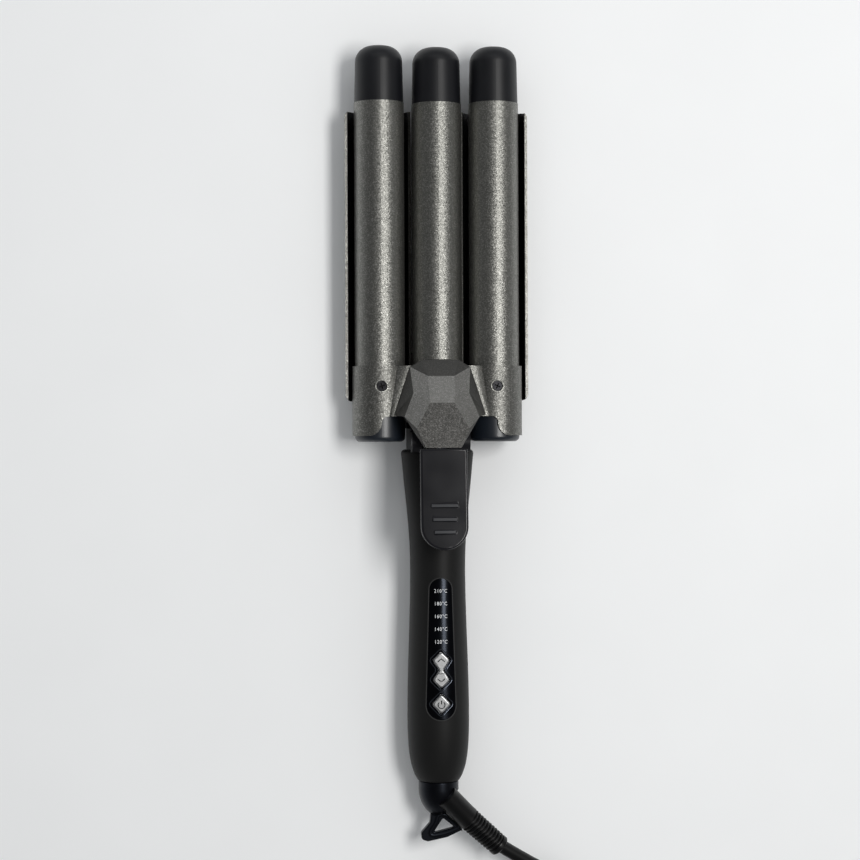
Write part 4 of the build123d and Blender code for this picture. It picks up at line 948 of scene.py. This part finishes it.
class WAVER_OT_panel(bpy.types.Operator):
    """Control lens with its printed temperatures, rocker and power button"""
    bl_idname = "waver.panel"
    bl_label = "Control panel"

    def execute(self, context):
        finish = context.scene.waver_finish
        panel = context.scene.waver_panel
        glass = polished_plastic("polished_acrylic_lens", finish.gloss, 0.2, specular=0.24)
        lens = finish_piece(lens_plate(), "curved_lens", "handle", glass,
                            ("panel_lens",), smooth=25.0)
        silver = satin_silver("silver_paint_buttons", finish.silver)
        rocker = domed_button("rocker", "temperature_rocker", silver)
        power = domed_button("power", "power_button", silver)
        context.view_layer.update()
        ink = printed_ink("white_pad_print", finish.print_colour)
        for i, words in enumerate(TEMPERATURES):
            label(words, panel.first_label - i * panel.label_step, panel.label_height, lens, ink)
        width = panel.symbol_width
        # painted shade: the raised strokes are a darker silver than the buttons
        mark_shade = satin_silver("polished_silver_marks_shade", tint(finish.silver, 0.6), 0.14)
        symbol("warmer_mark", chevron(ROCKER_Y + ROCKER_STEP, 1), rocker, width, "rocker", mark_shade)
        symbol("cooler_mark", chevron(ROCKER_Y - ROCKER_STEP, -1), rocker, width, "rocker", mark_shade)
        symbol("power_mark", power_mark(POWER_Y, POWER_MARK), power, width, "power", mark_shade)
        # painted highlight: the beads round the buttons are grey, lighter than the black lens, for their
        # glints
        black = polished_plastic("polished_bead_highlight", linear("24262A"), 0.12, specular=0.6)
        edge = [(x * LIP_SPREAD, y) for x, y in slot_outline()]
        lip = [(x, y, handle_front(x, y) - LIP_SINK) for x, y in edge]
        # painted highlight: the lip takes the handle's paint made three times as bright
        lip_highlight = soft_touch_paint("soft_touch_lip_highlight", tint(finish.soft_touch, 3.0))
        finished_bead("lens_lip", [lip], panel.lip_width, "handle", lip_highlight)
        for kind in ("rocker", "power"):
            loop = rounded(diamonds(kind, panel.frame_gap), BUTTON_CORNER)
            stroke = [(x, y, handle_front(x, y)) for x, y in loop]
            finished_bead(kind + "_frame", [stroke], panel.frame_width, "handle", black)
        return {"FINISHED"}


# ---- swivel
RELIEF_START = Vector((2.9, -175.3, 22.8)) * MM
RELIEF_ELBOW = Vector((13.2, -186.2, 18.9)) * MM
RELIEF_END = Vector((31.25, -202.8, 14.5)) * MM


def turned(name, profile, steps=64):
    """Spin a profile of (radius, z) points about the z axis."""
    mesh = bpy.data.meshes.new(name)
    mesh.from_pydata([(r, 0, z) for r, z in profile], [(i, i + 1) for i in range(len(profile) - 1)], [])
    piece = in_scene(name, mesh)
    modify(piece, "SCREW", steps=steps, render_steps=steps, use_merge_vertices=True,
           merge_threshold=MERGED)
    merge_outwards()
    return piece


def joined(pieces):
    """Several meshes as one object."""
    select_only(pieces[0])
    for piece in pieces:
        piece.select_set(True)
    bpy.ops.object.join()
    return bpy.context.view_layer.objects.active


def split_rings(relief, length):
    """Rings in two halves that meet in a jog along the boot's front and back."""
    loops = []
    for ring in range(relief.rings):
        z = relief.first_ring + ring * relief.pitch
        narrowing = (relief.end_radius - relief.elbow_radius) * z / length
        radius = relief.elbow_radius + narrowing - relief.ring_width / 2
        loop = []
        for i in range(64):
            angle = 2 * pi * i / 64
            side = min(max(6 * cos(angle), -1), 1)
            loop.append((radius * cos(angle), radius * sin(angle), z + side * relief.jog / 2))
        loops.append(loop)
    return as_mesh(bead("relief_rings", loops, relief.ring_width, closed=True))


def ribbed_boot(relief):
    """Smooth elbow, ribbed taper and plain collar, along the cord's way out."""
    way = RELIEF_END - RELIEF_ELBOW
    length = way.length
    top, foot = relief.elbow_radius, relief.end_radius
    drop = relief.core_drop
    collar_z = length - relief.collar
    edge = 0.5 * MM
    mouth = 0.62 * foot
    core = turned("relief_core", [
        (0, 0), (top, 0), (top, 0.2 * MM), (top - drop, 0.6 * MM), (foot - drop, collar_z),
        (foot - edge / 3, collar_z), (foot, collar_z + edge), (foot, length - edge),
        (foot - edge, length), (mouth, length), (mouth, length - edge)])
    rings = split_rings(relief, length)
    boot = joined([core, rings])
    forward = way.normalized()
    front = (Vector((0, 0, 1)) - forward * forward.z).normalized()
    turn = Matrix((front.cross(forward), front, forward)).transposed().to_4x4()
    boot.matrix_world = Matrix.Translation(RELIEF_ELBOW) @ turn
    bend = [RELIEF_START, RELIEF_START.lerp(RELIEF_ELBOW, 0.55), RELIEF_ELBOW,
            RELIEF_ELBOW.lerp(RELIEF_END, 0.08)]
    elbow = bead("relief_elbow", [bend], 2 * top, kind="NURBS")
    elbow.data.bevel_resolution = 14
    elbow.data.splines[0].resolution_u = 12
    elbow = as_mesh(elbow)
    select_only(boot)
    bpy.ops.object.transform_apply()
    return joined([boot, elbow])


LOOP_LINE = (  # middle of the hanging loop's bars, in millimetres
    (-0.9, -186.2), (-1.5, -189.5), (-4.6, -193.6), (-4.3, -195.8), (-1.0, -195.7), (3.4, -194.8),
    (7.3, -193.4), (10.6, -191.8), (6.9, -188.1), (3.4, -185.6), (1.0, -185.2))
LOOP_BAR = 3.0 * MM  # width of its rounded top
LOOP_SINK = 0.9 * MM  # of that top's middle line below the bars' front


class WAVER_OT_swivel(bpy.types.Operator):
    """Swivel housing with its loop, and the ribbed strain relief"""
    bl_idname = "waver.swivel"
    bl_label = "Swivel and strain relief"

    def execute(self, context):
        finish = context.scene.waver_finish
        gloss = polished_plastic("polished_abs_swivel", tint(finish.gloss, 2.0), 0.32)
        housing = softened("swivel_housing", "swivel", gloss, 0.7 * MM,
                           angle=50.0, segments=4, clamp=False)
        context.view_layer.update()
        line = [front_of(housing, x * MM, y * MM) for x, y in LOOP_LINE]
        level = sorted(spot.z for spot in line)[len(line) // 2] - LOOP_SINK
        stroke = [(spot.x, spot.y, level) for spot in line]
        bars = bead("loop_bars", [stroke], LOOP_BAR, kind="NURBS", closed=True)
        bars.data.bevel_resolution = 8
        finish_piece(bars, "loop_bars", "swivel", gloss, smooth=60.0)
        pvc = flexible_pvc("pvc_strain_relief", finish.rubber, 0.36)
        finish_piece(ribbed_boot(context.scene.waver_relief), "ribbed_relief", "swivel", pvc,
                     ("strain_relief",), smooth=40.0)
        return {"FINISHED"}


class WAVER_OT_inner(bpy.types.Operator):
    """Finishes of the pieces inside: hinge, heaters, board and fittings"""
    bl_idname = "waver.inner"
    bl_label = "Inner pieces"

    def execute(self, context):
        finish = context.scene.waver_finish
        paint(metal("ground_steel", linear("B4B5B8"), 0.22, stretch=(0.1, 1, 1)),
              "hinge_pin", "wing_rivets")
        paint(metal("spring_steel", linear("8E9094"), 0.3), "torsion_spring")
        paint(metal("zinc_plated_steel", linear("AEB0B2"), 0.3), "handle_screws", "board_screws")
        paint(metal("blackened_yoke_steel", linear("2A2A2B"), 0.4), "yoke_screws")
        paint(metal("extruded_aluminium", linear("C2C3C6"), 0.35, stretch=(1, 0.05, 1)),
              "left_heater", "centre_heater", "right_heater")
        paint(fired_ceramic("fired_alumina", linear("DAD8D0")), "thermistor")
        paint(fired_ceramic("lamp_lens", linear("E8E8E4")), "temperature_lamps")
        paint(moulded("white_acetal", linear("DADAD4"), 0.4, depth=0.004 * MM, specular=0.5),
              "swivel_bush", "swivel_retainer")
        paint(solder_mask("solder_mask_board", linear("1F5B38")), "circuit_board")
        paint(moulded("component_black", finish.moulded, 0.45), "tact_switches", "relay", "capacitor")
        paint(flexible_pvc("silicone_sleeve", linear("D8D6CE"), 0.45), "barrel_leads")
        return {"FINISHED"}


# ---- add-on
STEPS = (WAVER_OT_stage, WAVER_OT_cord, WAVER_OT_barrels, WAVER_OT_saddle, WAVER_OT_lever,
         WAVER_OT_handle, WAVER_OT_panel, WAVER_OT_swivel, WAVER_OT_inner)


class WAVER_PT_panel(bpy.types.Panel):
    """Steps and settings of the hair waver"""
    bl_idname = "WAVER_PT_panel"
    bl_label = "Hair waver"
    bl_space_type = "VIEW_3D"
    bl_region_type = "UI"
    bl_category = "Hair waver"

    def draw(self, context):
        for name in GROUPS:
            group = getattr(context.scene, name)
            box = self.layout.box()
            for key in group.__annotations__:
                box.prop(group, key)
        for step in STEPS:
            self.layout.operator(step.bl_idname)


GROUPS = {"waver_stage": WAVER_PG_stage, "waver_finish": WAVER_PG_finish, "waver_cord": WAVER_PG_cord,
          "waver_panel": WAVER_PG_panel, "waver_relief": WAVER_PG_relief}


def register():
    for cls in (*GROUPS.values(), *STEPS, WAVER_PT_panel):
        bpy.utils.register_class(cls)
    for key, group in GROUPS.items():
        setattr(bpy.types.Scene, key, PointerProperty(type=group))


def unregister():
    for key in GROUPS:
        delattr(bpy.types.Scene, key)
    for cls in (WAVER_PT_panel, *reversed(STEPS), *reversed(GROUPS.values())):
        bpy.utils.unregister_class(cls)


def main():
    register()
    bpy.ops.waver.stage()
    bpy.ops.waver.cord()
    bpy.ops.waver.barrels()
    bpy.ops.waver.saddle()
    bpy.ops.waver.lever()
    bpy.ops.waver.handle()
    bpy.ops.waver.panel()
    bpy.ops.waver.swivel()
    bpy.ops.waver.inner()


if __name__ == "__main__":
    main()
